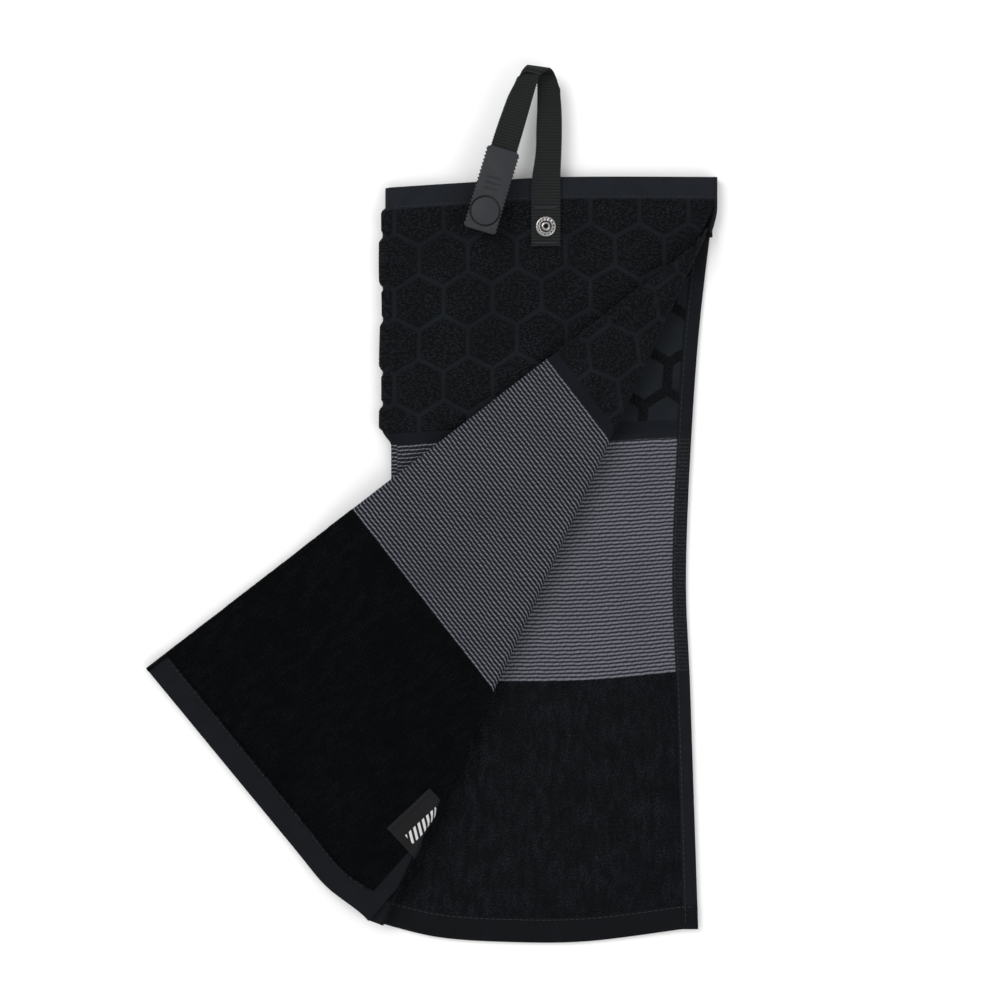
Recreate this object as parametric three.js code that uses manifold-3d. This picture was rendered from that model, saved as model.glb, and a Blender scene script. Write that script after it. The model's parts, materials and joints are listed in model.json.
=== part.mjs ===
// A tri-fold golf towel lying face up, with the lower part of its outer two layers turned over
// along a diagonal crease, and a webbing strap with a rubber pull tab and a ring snap.
// Millimetres. While it is drawn, x = 0, y = 0 is the middle of the top edge, +Y points to the
// strap, and z = 0 is the surface that the towel lies on.
import * as THREE from "three";
import { mergeVertices } from "three/addons/utils/BufferGeometryUtils.js";
import Module from "manifold-3d";

const wasm = await Module();
wasm.setup();

// Cloth
const PANEL_WIDTH = 178;
const PANEL_LENGTH = 406;
const CLOTH_PLY = 2.2;
const HEM_PLY = (CLOTH_PLY * 17) / 22;
const LAYER_GAP = 0.3;
const TOP_HEM = 12;
const SIDE_HEM = 8.5;
const BOTTOM_HEM = 13.5;
const TOP_BOW = 5.8;
const WAIST_DEPTH = 16;
const TUCKED_MARGIN = 9;

// Diagonal crease and the flap that it turns over
const CREASE_SLOPE = 1.05876;
const CREASE_ANGLE = (Math.atan((CREASE_SLOPE * PANEL_WIDTH) / PANEL_LENGTH) * 180) / Math.PI;
const CREASE_START = 25.6;
const DOUBLE_LAYER_SKEW = 2.55;
const TUCKED_SKEW = 1.5;
const FLAP_HEM_ANGLE = 91.85 - 2 * CREASE_ANGLE - DOUBLE_LAYER_SKEW;
const FLAP_HEM_STRAIGHT = PANEL_WIDTH * 0.865;
const FLAP_HEM_END_ANGLE = FLAP_HEM_ANGLE + 15.2;
const FLAP_HEM_END = PANEL_WIDTH * 0.143;
const FLAP_HEM_MIDDLE_ANGLE = FLAP_HEM_ANGLE + 7.5;
const FLAP_HEM_MIDDLE = FLAP_HEM_END * 0.55;
const LOWER_HEM_END_ANGLE = FLAP_HEM_ANGLE + 14.5;
const LOWER_HEM_END = 14;
const ROLL_START = 12;
const EDGE_FOLD_START = 19;
const TUCKED_ROLL_SHARE = 0.9316;
const SAG_START = 3;
const SAG_RUN = 46;

// Thread, label
const THREAD_WIDTH = 0.8;
const THREAD_PLY = 0.3;
const THREAD_GAP = 0.25;
const STITCH_INSET = 1.4;
const LABEL_LENGTH = 31;
const LABEL_WIDTH = 24;
const LABEL_PLY = 0.4;
const LABEL_HEADING = 47;
const LABEL_EDGE = 25.5;

// Strap
const WEB_WIDTH = 15;
const WEB_PLY = 1.4;
const WEB_OFFSET = -2.6;
const WEB_SEWN_LENGTH = 36.8;
const WEB_REACH = 56;
const STRAP_ANGLE = 16.7;
const LOOP_RADIUS = 3.35;
const LOOP_SHIFT = 9.5;
const LOOP_STEPS = 12;
const TACK_WIDTH = 12;
const TACK_LENGTH = 1.6;
const TACK_INSET = 1.6;

// Pull tab
const TAB_WIDTH = 17.9;
const TAB_LENGTH = 44.6;
const TAB_PLY = 4;
const TAB_CORNER = 2;
const TAB_TEETH = 20;
const TOOTH_DEPTH = 0.9;
const FREE_LENGTH = 44.6;
const SLOT_DEPTH = 14;
const SLOT_CLEARANCE = 0.3;
const GRIP_GROOVES = 3;
const GRIP_PITCH = 3;
const GRIP_LENGTH = 8;
const GRIP_WIDTH = 1;
const GRIP_DEPTH = 0.5;

// Ring snap
const SNAP_FROM_TAB_END = 10.6;
const CAP_RADIUS = 7.3;
const CAP_GROOVE = 1;
const CAP_PLY = 1.1;
const CAP_POCKET = 1.3;
const RIVET_RADIUS = 1.9;
const STUD_RADIUS = 5.35;
const STUD_PLY = 0.6;
const POST_RADIUS = 2.35;
const POST_HEIGHT = 1.7;
const POST_BORE = 1.1;
const BARREL_RADIUS = 1.5;
const SOCKET_RADIUS = 6;
const SOCKET_BORE = 2.75;
const SOCKET_PLY = 2.4;
const SOCKET_STAND = 0.7;
const SNAP_CLEARANCE = 0.3;
const SPRING_WIRE = 0.22;
const STUD_FROM_WEB_END = 10.2;

// Levels of the stacked layers, from the surface up
const level = (index) => index * (CLOTH_PLY + LAYER_GAP);
const BACK = level(0);
const TUCKED = level(1);
const MIDDLE = level(2);
const FLAP_LOWER = level(3);
const FLAP_UPPER = level(4);
const WEB_LEVEL = level(3);
const WEB_TOP = WEB_LEVEL + WEB_PLY;
const CREASE_LEVEL = FLAP_LOWER - LAYER_GAP / 2;
const CREASE_INNER_RADIUS = CREASE_LEVEL - MIDDLE;
const CREASE_OUTER_RADIUS = CREASE_LEVEL - TUCKED;
const PAIR_RADIUS = CLOTH_PLY + LAYER_GAP / 2;
const LEFT_FOLD_RADIUS = (MIDDLE + CLOTH_PLY) / 2;

const FABRIC = { color: 0x14181c, roughness: 0.95, metalness: 0 };
const HEM = { color: 0x1d2226, roughness: 0.85, metalness: 0 };
const THREAD = { color: 0x121417, roughness: 0.7, metalness: 0 };
const LABEL = { color: 0x2c2d30, roughness: 0.5, metalness: 0 };
const WEBBING = { color: 0x1b1d1f, roughness: 0.7, metalness: 0 };
const RUBBER = { color: 0x77787c, roughness: 0.6, metalness: 0 };
const STEEL = { color: 0xb9bbbd, roughness: 0.25, metalness: 1 };
const BRASS = { color: 0x9c9da0, roughness: 0.35, metalness: 1 };

const towel = new THREE.Group();
const radians = THREE.MathUtils.degToRad;
const point = (x, y) => new THREE.Vector2(x, y);
const along = (start, direction, distance) => start.clone().addScaledVector(direction, distance);
const leftOf = (direction) => point(-direction.y, direction.x);
const heading = (degrees) => point(-Math.sin(radians(degrees)), -Math.cos(radians(degrees)));

// ---- solids ----------------------------------------------------------------------------------

function toSolid(geometry) {
  const bare = geometry.index ? geometry.toNonIndexed() : geometry.clone();
  bare.deleteAttribute("normal");
  bare.deleteAttribute("uv");
  const merged = mergeVertices(bare, 1e-4);
  const vertProperties = new Float32Array(merged.attributes.position.array);
  const triVerts = new Uint32Array(merged.index.array);
  return new wasm.Manifold(new wasm.Mesh({ numProp: 3, vertProperties, triVerts }));
}

function toGeometry(solid) {
  const mesh = solid.getMesh();
  const geometry = new THREE.BufferGeometry();
  geometry.setAttribute("position", new THREE.BufferAttribute(mesh.vertProperties, 3));
  geometry.setIndex(new THREE.BufferAttribute(mesh.triVerts, 1));
  geometry.computeVertexNormals();
  return geometry;
}

function addPart(name, shape, look) {
  const geometry = shape.isBufferGeometry ? shape : toGeometry(shape);
  const mesh = new THREE.Mesh(geometry, new THREE.MeshStandardMaterial(look));
  mesh.name = name;
  towel.add(mesh);
}

function prism(points, bottom, height) {
  const options = { depth: height, bevelEnabled: false };
  const geometry = new THREE.ExtrudeGeometry(new THREE.Shape(points), options);
  return toSolid(geometry.translate(0, 0, bottom));
}

function box(width, length, height, x, y, z) {
  return toSolid(new THREE.BoxGeometry(width, length, height).translate(x, y, z));
}

function lathe(profile, x, y) {
  const points = profile.map(([radius, z]) => point(radius, z));
  const geometry = new THREE.LatheGeometry(points, 40);
  return toSolid(geometry.rotateX(Math.PI / 2).translate(x, y, 0));
}

// Joins rings of the same number of points, each ring convex, into one closed body.
function loft(rings) {
  const count = rings[0].length;
  const positions = rings.flat().flatMap((place) => [place.x, place.y, place.z]);
  const index = [];
  for (let ring = 0; ring + 1 < rings.length; ring += 1) {
    for (let side = 0; side < count; side += 1) {
      const here = ring * count + side;
      const next = ring * count + ((side + 1) % count);
      index.push(here, next, next + count, here, next + count, here + count);
    }
  }
  const last = (rings.length - 1) * count;
  for (let side = 1; side + 1 < count; side += 1) {
    index.push(0, side + 1, side, last, last + side, last + side + 1);
  }
  const geometry = new THREE.BufferGeometry();
  geometry.setAttribute("position", new THREE.Float32BufferAttribute(positions, 3));
  geometry.setIndex(index);
  return geometry;
}

// Extrudes a section drawn in (sideways, up) along a level line. Sideways is to the line's left.
function sweep(section, start, end) {
  const run = end.clone().sub(start);
  const side = leftOf(run.clone().normalize());
  const rings = [start, end].map((foot) =>
    section.map(([out, up]) => new THREE.Vector3(foot.x + side.x * out, foot.y + side.y * out, up))
  );
  return loft(rings);
}

// ---- outlines --------------------------------------------------------------------------------

const half = PANEL_WIDTH / 2;
const creaseWay = heading(CREASE_ANGLE);
const creaseTop = point(half - 3, -CREASE_START);
const flapWay = heading(2 * CREASE_ANGLE + DOUBLE_LAYER_SKEW);
const flapCorner = along(creaseTop, flapWay, PANEL_LENGTH - CREASE_START);
const hemTurn = along(flapCorner, heading(-FLAP_HEM_ANGLE), FLAP_HEM_STRAIGHT);
const tuckedCorner = along(hemTurn, heading(-FLAP_HEM_END_ANGLE), FLAP_HEM_END);
const backBottom = -PANEL_LENGTH + 2.3;
const creaseAt = (y) => along(creaseTop, creaseWay, (y - creaseTop.y) / creaseWay.y);
const creaseEnd = creaseAt(backBottom + 8);

const topEdge = new THREE.SplineCurve([
  point(-half, -TOP_BOW / 2),
  point(-half / 2, 0),
  point(5, TOP_BOW / 2),
  point(half, TOP_BOW / 2),
]);
const sideEdge = new THREE.SplineCurve([
  point(half - 0.5, 0),
  point(half - WAIST_DEPTH * 0.68, -PANEL_LENGTH * 0.22),
  point(half - WAIST_DEPTH - 0.7, -PANEL_LENGTH * 0.49),
  point(half - WAIST_DEPTH + 1.5, -PANEL_LENGTH * 0.67),
  point(half - WAIST_DEPTH + 5.5, -PANEL_LENGTH * 0.97),
]);
const bottomEdge = new THREE.SplineCurve([
  point(half - WAIST_DEPTH + 7, backBottom + 7),
  point(half * 0.3, backBottom + 0.5),
  point(-half * 0.2, backBottom),
  point(-half * 0.66, backBottom + 2.7),
  point(-half - 6, backBottom + 11),
]);

// The strip that lies between two distances inside an edge, the inside being to its right.
function strip(edgePoints, from, to) {
  const offset = (distance) =>
    edgePoints.map((place, index) => {
      const before = edgePoints[Math.max(index - 1, 0)];
      const after = edgePoints[Math.min(index + 1, edgePoints.length - 1)];
      const side = leftOf(after.clone().sub(before).normalize());
      return along(place, side, -distance);
    });
  return [...offset(from), ...offset(to).reverse()];
}

const TALL = 60;
const OVERSHOOT = 20;
const wholeStrip = (points, from, to) => prism(strip(points, from, to), -TALL / 2, TALL);
const topPoints = topEdge.getPoints(12);
const sidePoints = sideEdge.getPoints(16);
const bottomPoints = bottomEdge.getPoints(12);

const leftAxis = -half - 0.5 + LEFT_FOLD_RADIUS;
const rightAxis = half - PAIR_RADIUS;
const axisInset = CREASE_OUTER_RADIUS;
const creaseSide = leftOf(creaseWay).negate();
const creaseAxisTop = along(creaseTop, creaseSide, axisInset);
const creaseAxisEnd = along(creaseAxisTop, creaseWay,
  (creaseAxisTop.x - leftAxis - 2 * LAYER_GAP) / -creaseWay.x);
const leftFoldEnd = creaseAxisEnd.y + PAIR_RADIUS + LAYER_GAP;

const backOutline = [...topPoints, ...sidePoints, ...bottomPoints,
  point(leftAxis + LAYER_GAP, leftFoldEnd), point(leftAxis + LAYER_GAP, -TOP_BOW / 2)];

function creasedOutline(left, right, skew) {
  const foot = creaseEnd.y + 2;
  const shift = (foot * -1) * Math.tan(radians(skew));
  const inTop = topPoints.filter((place) => place.x > left + 1 && place.x < right - 1);
  return [point(left, inTop[0].y), ...inTop, point(right, topPoints.at(-1).y),
    point(right, creaseTop.y - 30), point(left + shift, foot - 30)];
}

// Everything on the left of the crease, less what the rolled crease takes up.
const creaseCut = prism(
  [along(creaseAxisTop, creaseWay, -200), along(creaseAxisTop, creaseWay, 600)]
    .flatMap((place, index) => {
      const near = along(place, creaseSide, LAYER_GAP);
      const far = along(place, creaseSide, 500);
      return index === 0 ? [far, near] : [near, far];
    }),
  -TALL / 2, TALL);
const aboveBottom = prism(
  [point(-200, 50), point(200, 50), point(200, creaseEnd.y), point(-200, creaseEnd.y)],
  -TALL / 2, TALL);

// ---- towel: back, tucked and middle panels ---------------------------------------------------

function hemmedLayer(name, outline, bottom, hems) {
  const hemBodies = [];
  let rest = prism(outline, bottom, CLOTH_PLY);
  let hemStock = prism(outline, bottom, HEM_PLY);
  hems.forEach((hem) => {
    const { points, width } = hem;
    hemBodies.push([hem.name, hemStock.intersect(wholeStrip(points, -OVERSHOOT, width))]);
    const grown = wholeStrip(points, -OVERSHOOT, width + LAYER_GAP);
    rest = rest.subtract(grown);
    hemStock = hemStock.subtract(grown);
  });
  return { name, panel: rest, hemBodies };
}

function addHemmedLayer(layer, trims) {
  const trimmed = (solid) => trims.reduce((body, trim) => body.intersect(trim), solid);
  addPart(layer.name, trimmed(layer.panel), FABRIC);
  layer.hemBodies.forEach(([name, body]) => addPart(name, trimmed(body), HEM));
}

addHemmedLayer(hemmedLayer("back_panel", backOutline, BACK, [
  { name: "back_top_hem", points: topPoints, width: TOP_HEM },
  { name: "back_bottom_hem", points: bottomPoints, width: BOTTOM_HEM },
  { name: "back_side_hem", points: sidePoints, width: SIDE_HEM },
]), []);

const tuckedLeft = leftAxis + TUCKED_MARGIN;
const tuckedOutline = creasedOutline(tuckedLeft, rightAxis - LAYER_GAP, TUCKED_SKEW);
const tuckedEdge = [tuckedOutline.at(-1), tuckedOutline[0].clone().add(point(0, 10))];
const beforeCrease = [creaseCut, aboveBottom];
addHemmedLayer(hemmedLayer("tucked_panel", tuckedOutline, TUCKED, [
  { name: "tucked_top_hem", points: topPoints, width: TOP_HEM },
  { name: "tucked_side_hem", points: tuckedEdge, width: SIDE_HEM },
]), beforeCrease);

const eyeletPocket = lathe([
  [0, WEB_LEVEL - STUD_PLY - 2 * LAYER_GAP], [STUD_RADIUS, WEB_LEVEL - STUD_PLY - 2 * LAYER_GAP],
  [STUD_RADIUS, WEB_LEVEL], [0, WEB_LEVEL],
], WEB_OFFSET, TOP_BOW / 2 - WEB_SEWN_LENGTH + STUD_FROM_WEB_END);
const middleOutline = creasedOutline(leftAxis + LAYER_GAP, rightAxis - LAYER_GAP, 0);
const middle = hemmedLayer("middle_panel", middleOutline, MIDDLE, [
  { name: "middle_top_hem", points: topPoints, width: TOP_HEM },
]);
middle.panel = middle.panel.subtract(eyeletPocket);
addHemmedLayer(middle, beforeCrease);

// ---- rolled folds ----------------------------------------------------------------------------

function arc(radius, centre, from, to, steps) {
  return Array.from({ length: steps + 1 }, (_, index) => {
    const turn = radians(from + ((to - from) * index) / steps);
    return [radius * Math.sin(turn), centre - radius * Math.cos(turn)];
  });
}

// Half of a tube whose open side faces to the right of the line start to end.
function halfTube(outer, inner, centre, start, end) {
  const shell = toSolid(sweep(arc(outer, centre, 0, 180, 10), start, end));
  const past = end.clone().sub(start).normalize();
  const core = sweep([[-1, centre - inner], ...arc(inner, centre, 0, 180, 10), [-1, centre + inner]],
    along(start, past, -1), along(end, past, 1));
  return shell.subtract(toSolid(core));
}

addPart("left_fold", halfTube(LEFT_FOLD_RADIUS, LEFT_FOLD_RADIUS - CLOTH_PLY, LEFT_FOLD_RADIUS,
  point(leftAxis, leftFoldEnd), point(leftAxis, -TOP_BOW / 2)), FABRIC);
addPart("right_fold", sweep(arc(PAIR_RADIUS, TUCKED + PAIR_RADIUS, 0, 180, 8),
  point(rightAxis, TOP_BOW / 2), point(rightAxis, creaseTop.y + 2 * PAIR_RADIUS)), FABRIC);

const rollTop = along(creaseAxisTop, creaseWay, ROLL_START);
const sideHemEnd = creaseAxisTop.clone().lerp(creaseAxisEnd, TUCKED_ROLL_SHARE);
addPart("crease_inner", sweep(arc(CREASE_INNER_RADIUS, CREASE_LEVEL, 0, 180, 8),
  rollTop, creaseAxisEnd), FABRIC);
addPart("crease_outer", halfTube(CREASE_OUTER_RADIUS, CREASE_OUTER_RADIUS - CLOTH_PLY,
  CREASE_LEVEL, rollTop, sideHemEnd), FABRIC);

// ---- turned-over flap ------------------------------------------------------------------------

// The flap sinks to the surface where it reaches past the left fold.
function sag(x) {
  const share = THREE.MathUtils.smoothstep(leftAxis - LEFT_FOLD_RADIUS - SAG_START - x, 0, SAG_RUN);
  return -FLAP_LOWER * share;
}

function drapedBlock(bottom, ply) {
  const steps = 10;
  const sagEnd = leftAxis - LEFT_FOLD_RADIUS - SAG_START;
  const stations = Array.from({ length: steps + 1 }, (_, index) => sagEnd - (SAG_RUN * index) / steps);
  const line = [PANEL_LENGTH, ...stations, -PANEL_LENGTH];
  const under = line.map((x) => point(x, bottom + sag(x)));
  const over = line.map((x) => point(x, bottom + ply + sag(x)));
  const options = { depth: 3 * PANEL_LENGTH, bevelEnabled: false };
  const geometry = new THREE.ExtrudeGeometry(new THREE.Shape([...under, ...over.reverse()]), options);
  return toSolid(geometry.rotateX(Math.PI / 2).translate(0, PANEL_LENGTH, 0));
}

const flapHemCurve = [flapCorner, hemTurn,
  along(hemTurn, heading(-FLAP_HEM_MIDDLE_ANGLE), FLAP_HEM_MIDDLE), tuckedCorner];
const flapFoldSide = leftOf(flapWay);
const foldLine = [along(creaseTop, flapFoldSide, PAIR_RADIUS + LAYER_GAP),
  along(flapCorner, flapFoldSide, PAIR_RADIUS + LAYER_GAP)];
const sideHemFoot = along(sideHemEnd, creaseSide, -axisInset);
const lowerOutline = [foldLine[0], foldLine[1], hemTurn, tuckedCorner, creaseEnd,
  along(creaseEnd, creaseSide, -30), along(creaseTop, creaseSide, -30)];
const upperOutline = [foldLine[0], foldLine[1], ...flapHemCurve.slice(1), sideHemFoot,
  along(sideHemFoot, creaseSide, -30), along(creaseTop, creaseSide, -30)];
const tuckedSideLine = [tuckedCorner, sideHemFoot];

function flapLayer(name, outline, bottom, hems, pocket) {
  const body = prism(outline, -TALL / 2, TALL).intersect(creaseCut);
  const thick = body.intersect(drapedBlock(bottom, CLOTH_PLY));
  const thin = body.intersect(drapedBlock(bottom, HEM_PLY));
  let panel = pocket ? thick.subtract(pocket) : thick;
  let hemStock = pocket ? thin.subtract(pocket) : thin;
  hems.forEach((hem) => {
    const { points, width } = hem;
    addPart(hem.name, hemStock.intersect(wholeStrip(points, -OVERSHOOT, width)), HEM);
    const grown = wholeStrip(points, -OVERSHOOT, width + LAYER_GAP);
    panel = panel.subtract(grown);
    hemStock = hemStock.subtract(grown);
  });
  addPart(name, panel, FABRIC);
}

const hemWay = [...flapHemCurve].reverse();
const sideWay = [...tuckedSideLine].reverse();
const lowerHemEnd = along(tuckedCorner, heading(-LOWER_HEM_END_ANGLE), LOWER_HEM_END);
flapLayer("flap_lower_layer", lowerOutline, FLAP_LOWER, [
  { name: "flap_lower_hem", points: [lowerHemEnd, ...hemWay.slice(1)], width: BOTTOM_HEM },
]);

// The label lies in a shallow pocket that it presses into the pile.
const labelLevel = FLAP_UPPER + CLOTH_PLY - THREAD_PLY - THREAD_GAP - LABEL_PLY;
const labelWay = heading(LABEL_HEADING).negate();
const labelAcross = leftOf(labelWay);
const labelFoot = along(sideHemFoot, labelAcross, LABEL_EDGE);

function labelOutline(margin) {
  const near = along(along(labelFoot, labelWay, -margin), labelAcross, margin);
  const far = along(near, labelWay, LABEL_LENGTH + 2 * margin);
  const width = LABEL_WIDTH + 2 * margin;
  return [near, far, along(far, labelAcross, -width), along(near, labelAcross, -width)];
}

flapLayer("flap_upper_layer", upperOutline, FLAP_UPPER, [
  { name: "flap_upper_hem", points: hemWay, width: BOTTOM_HEM },
  { name: "flap_side_hem", points: sideWay, width: SIDE_HEM },
], prism(labelOutline(LAYER_GAP), labelLevel - LAYER_GAP, TALL));

const foldSteps = 14;
const foldRings = Array.from({ length: foldSteps + 1 }, (_, index) => {
  const foot = along(foldLine[0], flapWay, EDGE_FOLD_START
    + ((PANEL_LENGTH - CREASE_START - EDGE_FOLD_START) * index) / foldSteps);
  const centre = along(foot, flapFoldSide, -LAYER_GAP);
  const rise = sag(centre.x);
  return arc(PAIR_RADIUS, FLAP_LOWER + PAIR_RADIUS + rise, 0, 180, 8).map(([out, up]) =>
    new THREE.Vector3(centre.x - flapFoldSide.x * out, centre.y - flapFoldSide.y * out, up));
});
addPart("flap_edge_fold", loft(foldRings.reverse()), FABRIC);

// ---- stitching and label ---------------------------------------------------------------------

function seam(name, edgePoints, inset, bottom, cutters) {
  const from = inset - THREAD_WIDTH / 2;
  const line = prism(strip(edgePoints, from, from + THREAD_WIDTH), bottom, THREAD_PLY);
  addPart(name, cutters.reduce((body, cutter) => body.intersect(cutter), line), THREAD);
}

const onHem = (bottom) => bottom + HEM_PLY + THREAD_GAP;
const backBody = prism(backOutline, -TALL / 2, TALL);
seam("bottom_hem_thread", bottomPoints, BOTTOM_HEM - STITCH_INSET, onHem(BACK), [backBody]);
seam("side_hem_thread", sidePoints.slice(1, -1), SIDE_HEM - STITCH_INSET, onHem(BACK), [backBody]);
seam("top_hem_thread", topPoints.slice(1, -1), TOP_HEM - STITCH_INSET, onHem(MIDDLE),
  [prism(middleOutline, -TALL / 2, TALL)]);
const flapBody = prism(upperOutline, -TALL / 2, TALL).intersect(creaseCut);
const flapThread = drapedBlock(onHem(FLAP_UPPER), THREAD_PLY).intersect(flapBody);
const hemSeam = (points, inset) => wholeStrip(points, inset - THREAD_WIDTH / 2,
  inset + THREAD_WIDTH / 2);
addPart("flap_hem_thread", flapThread.intersect(hemSeam(hemWay.slice(1),
  BOTTOM_HEM - STITCH_INSET)), THREAD);

addPart("label", prism(labelOutline(0), labelLevel, LABEL_PLY).intersect(creaseCut), LABEL);
const [labelNear, labelFar] = labelOutline(0);
seam("label_thread", [labelNear, labelFar], STITCH_INSET, labelLevel + LABEL_PLY + THREAD_GAP, []);

// ---- strap -----------------------------------------------------------------------------------

const webEnd = TOP_BOW / 2 - WEB_SEWN_LENGTH;
const studY = webEnd + STUD_FROM_WEB_END;
addPart("strap_sewn_leg", box(WEB_WIDTH, WEB_REACH - LAYER_GAP - webEnd + TOP_BOW / 2, WEB_PLY,
  WEB_OFFSET, (WEB_REACH + TOP_BOW / 2 - LAYER_GAP + webEnd) / 2, WEB_LEVEL + WEB_PLY / 2)
  .subtract(lathe([[0, 0], [BARREL_RADIUS + SNAP_CLEARANCE, 0],
    [BARREL_RADIUS + SNAP_CLEARANCE, 20], [0, 20]], WEB_OFFSET, studY)), WEBBING);

const bendY = WEB_REACH + TOP_BOW / 2;
const bendLevel = WEB_LEVEL + WEB_PLY / 2 + LOOP_RADIUS;
const loopRings = Array.from({ length: LOOP_STEPS + 1 }, (_, index) => {
  const share = index / LOOP_STEPS;
  const turn = Math.PI * share;
  const twist = radians(STRAP_ANGLE) * share;
  const across = new THREE.Vector3(Math.cos(twist), -Math.sin(twist), 0);
  const outward = new THREE.Vector3(Math.sin(twist), Math.cos(twist), 0)
    .multiplyScalar(Math.sin(turn));
  outward.z = -Math.cos(turn);
  const centre = new THREE.Vector3(WEB_OFFSET - LOOP_SHIFT * share, bendY, bendLevel);
  return [[-1, -1], [1, -1], [1, 1], [-1, 1]].map(([side, face]) => centre.clone()
    .addScaledVector(across, (side * WEB_WIDTH) / 2)
    .addScaledVector(outward, LOOP_RADIUS + (face * WEB_PLY) / 2));
});
addPart("strap_bend", loft(loopRings), WEBBING);

// The free leg and the pull tab are drawn along -Y from the end of the loop, then turned.
const freeLevel = bendLevel + LOOP_RADIUS;
const tabBottom = freeLevel - TAB_PLY / 2;
const tabTop = tabBottom + TAB_PLY;
const freeEnd = new THREE.Group();
freeEnd.position.set(WEB_OFFSET - LOOP_SHIFT, bendY, 0);
freeEnd.rotation.z = -radians(STRAP_ANGLE);
towel.add(freeEnd);

function addFreePart(name, solid, look) {
  const mesh = new THREE.Mesh(toGeometry(solid), new THREE.MeshStandardMaterial(look));
  mesh.name = name;
  freeEnd.add(mesh);
}

const webTail = FREE_LENGTH + SLOT_DEPTH - 1;
addFreePart("strap_free_leg", box(WEB_WIDTH, webTail - LAYER_GAP, WEB_PLY,
  0, -(webTail + LAYER_GAP) / 2, freeLevel), WEBBING);

function tabOutline() {
  const side = TAB_WIDTH / 2;
  const far = -FREE_LENGTH - TAB_LENGTH;
  const pitch = (TAB_LENGTH - 2 * TAB_CORNER) / TAB_TEETH;
  const start = -FREE_LENGTH - TAB_CORNER;
  const teeth = Array.from({ length: TAB_TEETH }, (_, index) => [
    point(-side, start - pitch * index),
    point(-side + TOOTH_DEPTH, start - pitch * (index + 0.5)),
  ]).flat();
  const left = [point(-side + TAB_CORNER, -FREE_LENGTH), point(-side + 0.6, -FREE_LENGTH - 0.6),
    ...teeth, point(-side, far + TAB_CORNER), point(-side + 0.6, far + 0.6),
    point(-side + TAB_CORNER, far)];
  const right = left.map((place) => point(-place.x, place.y)).reverse();
  return [...left, ...right];
}

const snapY = -FREE_LENGTH - TAB_LENGTH + SNAP_FROM_TAB_END;
const cylinder = (radius, bottom, top) => lathe(
  [[0, bottom], [radius, bottom], [radius, top], [0, top]], 0, snapY);
const slotWidth = WEB_WIDTH + 2 * SLOT_CLEARANCE;
const slotPly = WEB_PLY + 2 * SLOT_CLEARANCE;
const socketBottom = tabBottom - SOCKET_STAND;
const socketTop = socketBottom + SOCKET_PLY;
let tab = prism(tabOutline(), tabBottom, TAB_PLY)
  .subtract(box(slotWidth, 2 * SLOT_DEPTH, slotPly, 0, -FREE_LENGTH, freeLevel))
  .subtract(cylinder(CAP_RADIUS + CAP_GROOVE, tabTop - CAP_POCKET, tabTop + 1))
  .subtract(cylinder(SOCKET_RADIUS + SNAP_CLEARANCE, tabBottom - 1, socketTop + SNAP_CLEARANCE))
  .subtract(cylinder(RIVET_RADIUS + SNAP_CLEARANCE, tabBottom, tabTop));
for (let groove = 0; groove < GRIP_GROOVES; groove += 1) {
  const y = -FREE_LENGTH - SLOT_DEPTH - GRIP_PITCH * (groove + 0.7);
  tab = tab.subtract(box(GRIP_LENGTH, GRIP_WIDTH, 2 * GRIP_DEPTH, 0, y, tabTop));
}
addFreePart("tab_body", tab, RUBBER);

const capBottom = tabTop - CAP_PLY + 0.1;
const rivetBottom = socketTop - 0.2;
addFreePart("tab_cap", lathe([[0, rivetBottom], [RIVET_RADIUS, rivetBottom],
  [RIVET_RADIUS, capBottom], [CAP_RADIUS, capBottom], [CAP_RADIUS, tabTop],
  [CAP_RADIUS - 0.6, tabTop + 0.2], [0, tabTop + 0.3]], 0, snapY), RUBBER);

const springLevel = socketBottom + 0.5;
addFreePart("snap_socket", lathe([
  [SOCKET_BORE, socketBottom], [SOCKET_RADIUS, socketBottom], [SOCKET_RADIUS, socketTop],
  [RIVET_RADIUS + SNAP_CLEARANCE, socketTop], [RIVET_RADIUS + SNAP_CLEARANCE, socketTop - 0.3],
  [SOCKET_BORE + 0.8, socketTop - 0.3], [SOCKET_BORE + 0.8, socketBottom + 0.2],
  [SOCKET_BORE, socketBottom + 0.2], [SOCKET_BORE, socketBottom],
], 0, snapY), STEEL);
addFreePart("socket_spring", lathe([0, 1, 2, 3, 4, 5, 6].map((step) => {
  const turn = (-step * Math.PI) / 3;
  return [SOCKET_BORE + 0.28 + SPRING_WIRE * Math.cos(turn),
    springLevel + SPRING_WIRE * Math.sin(turn)];
}).reverse(), 0, snapY), STEEL);

// ---- snap stud on the towel ------------------------------------------------------------------

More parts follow.
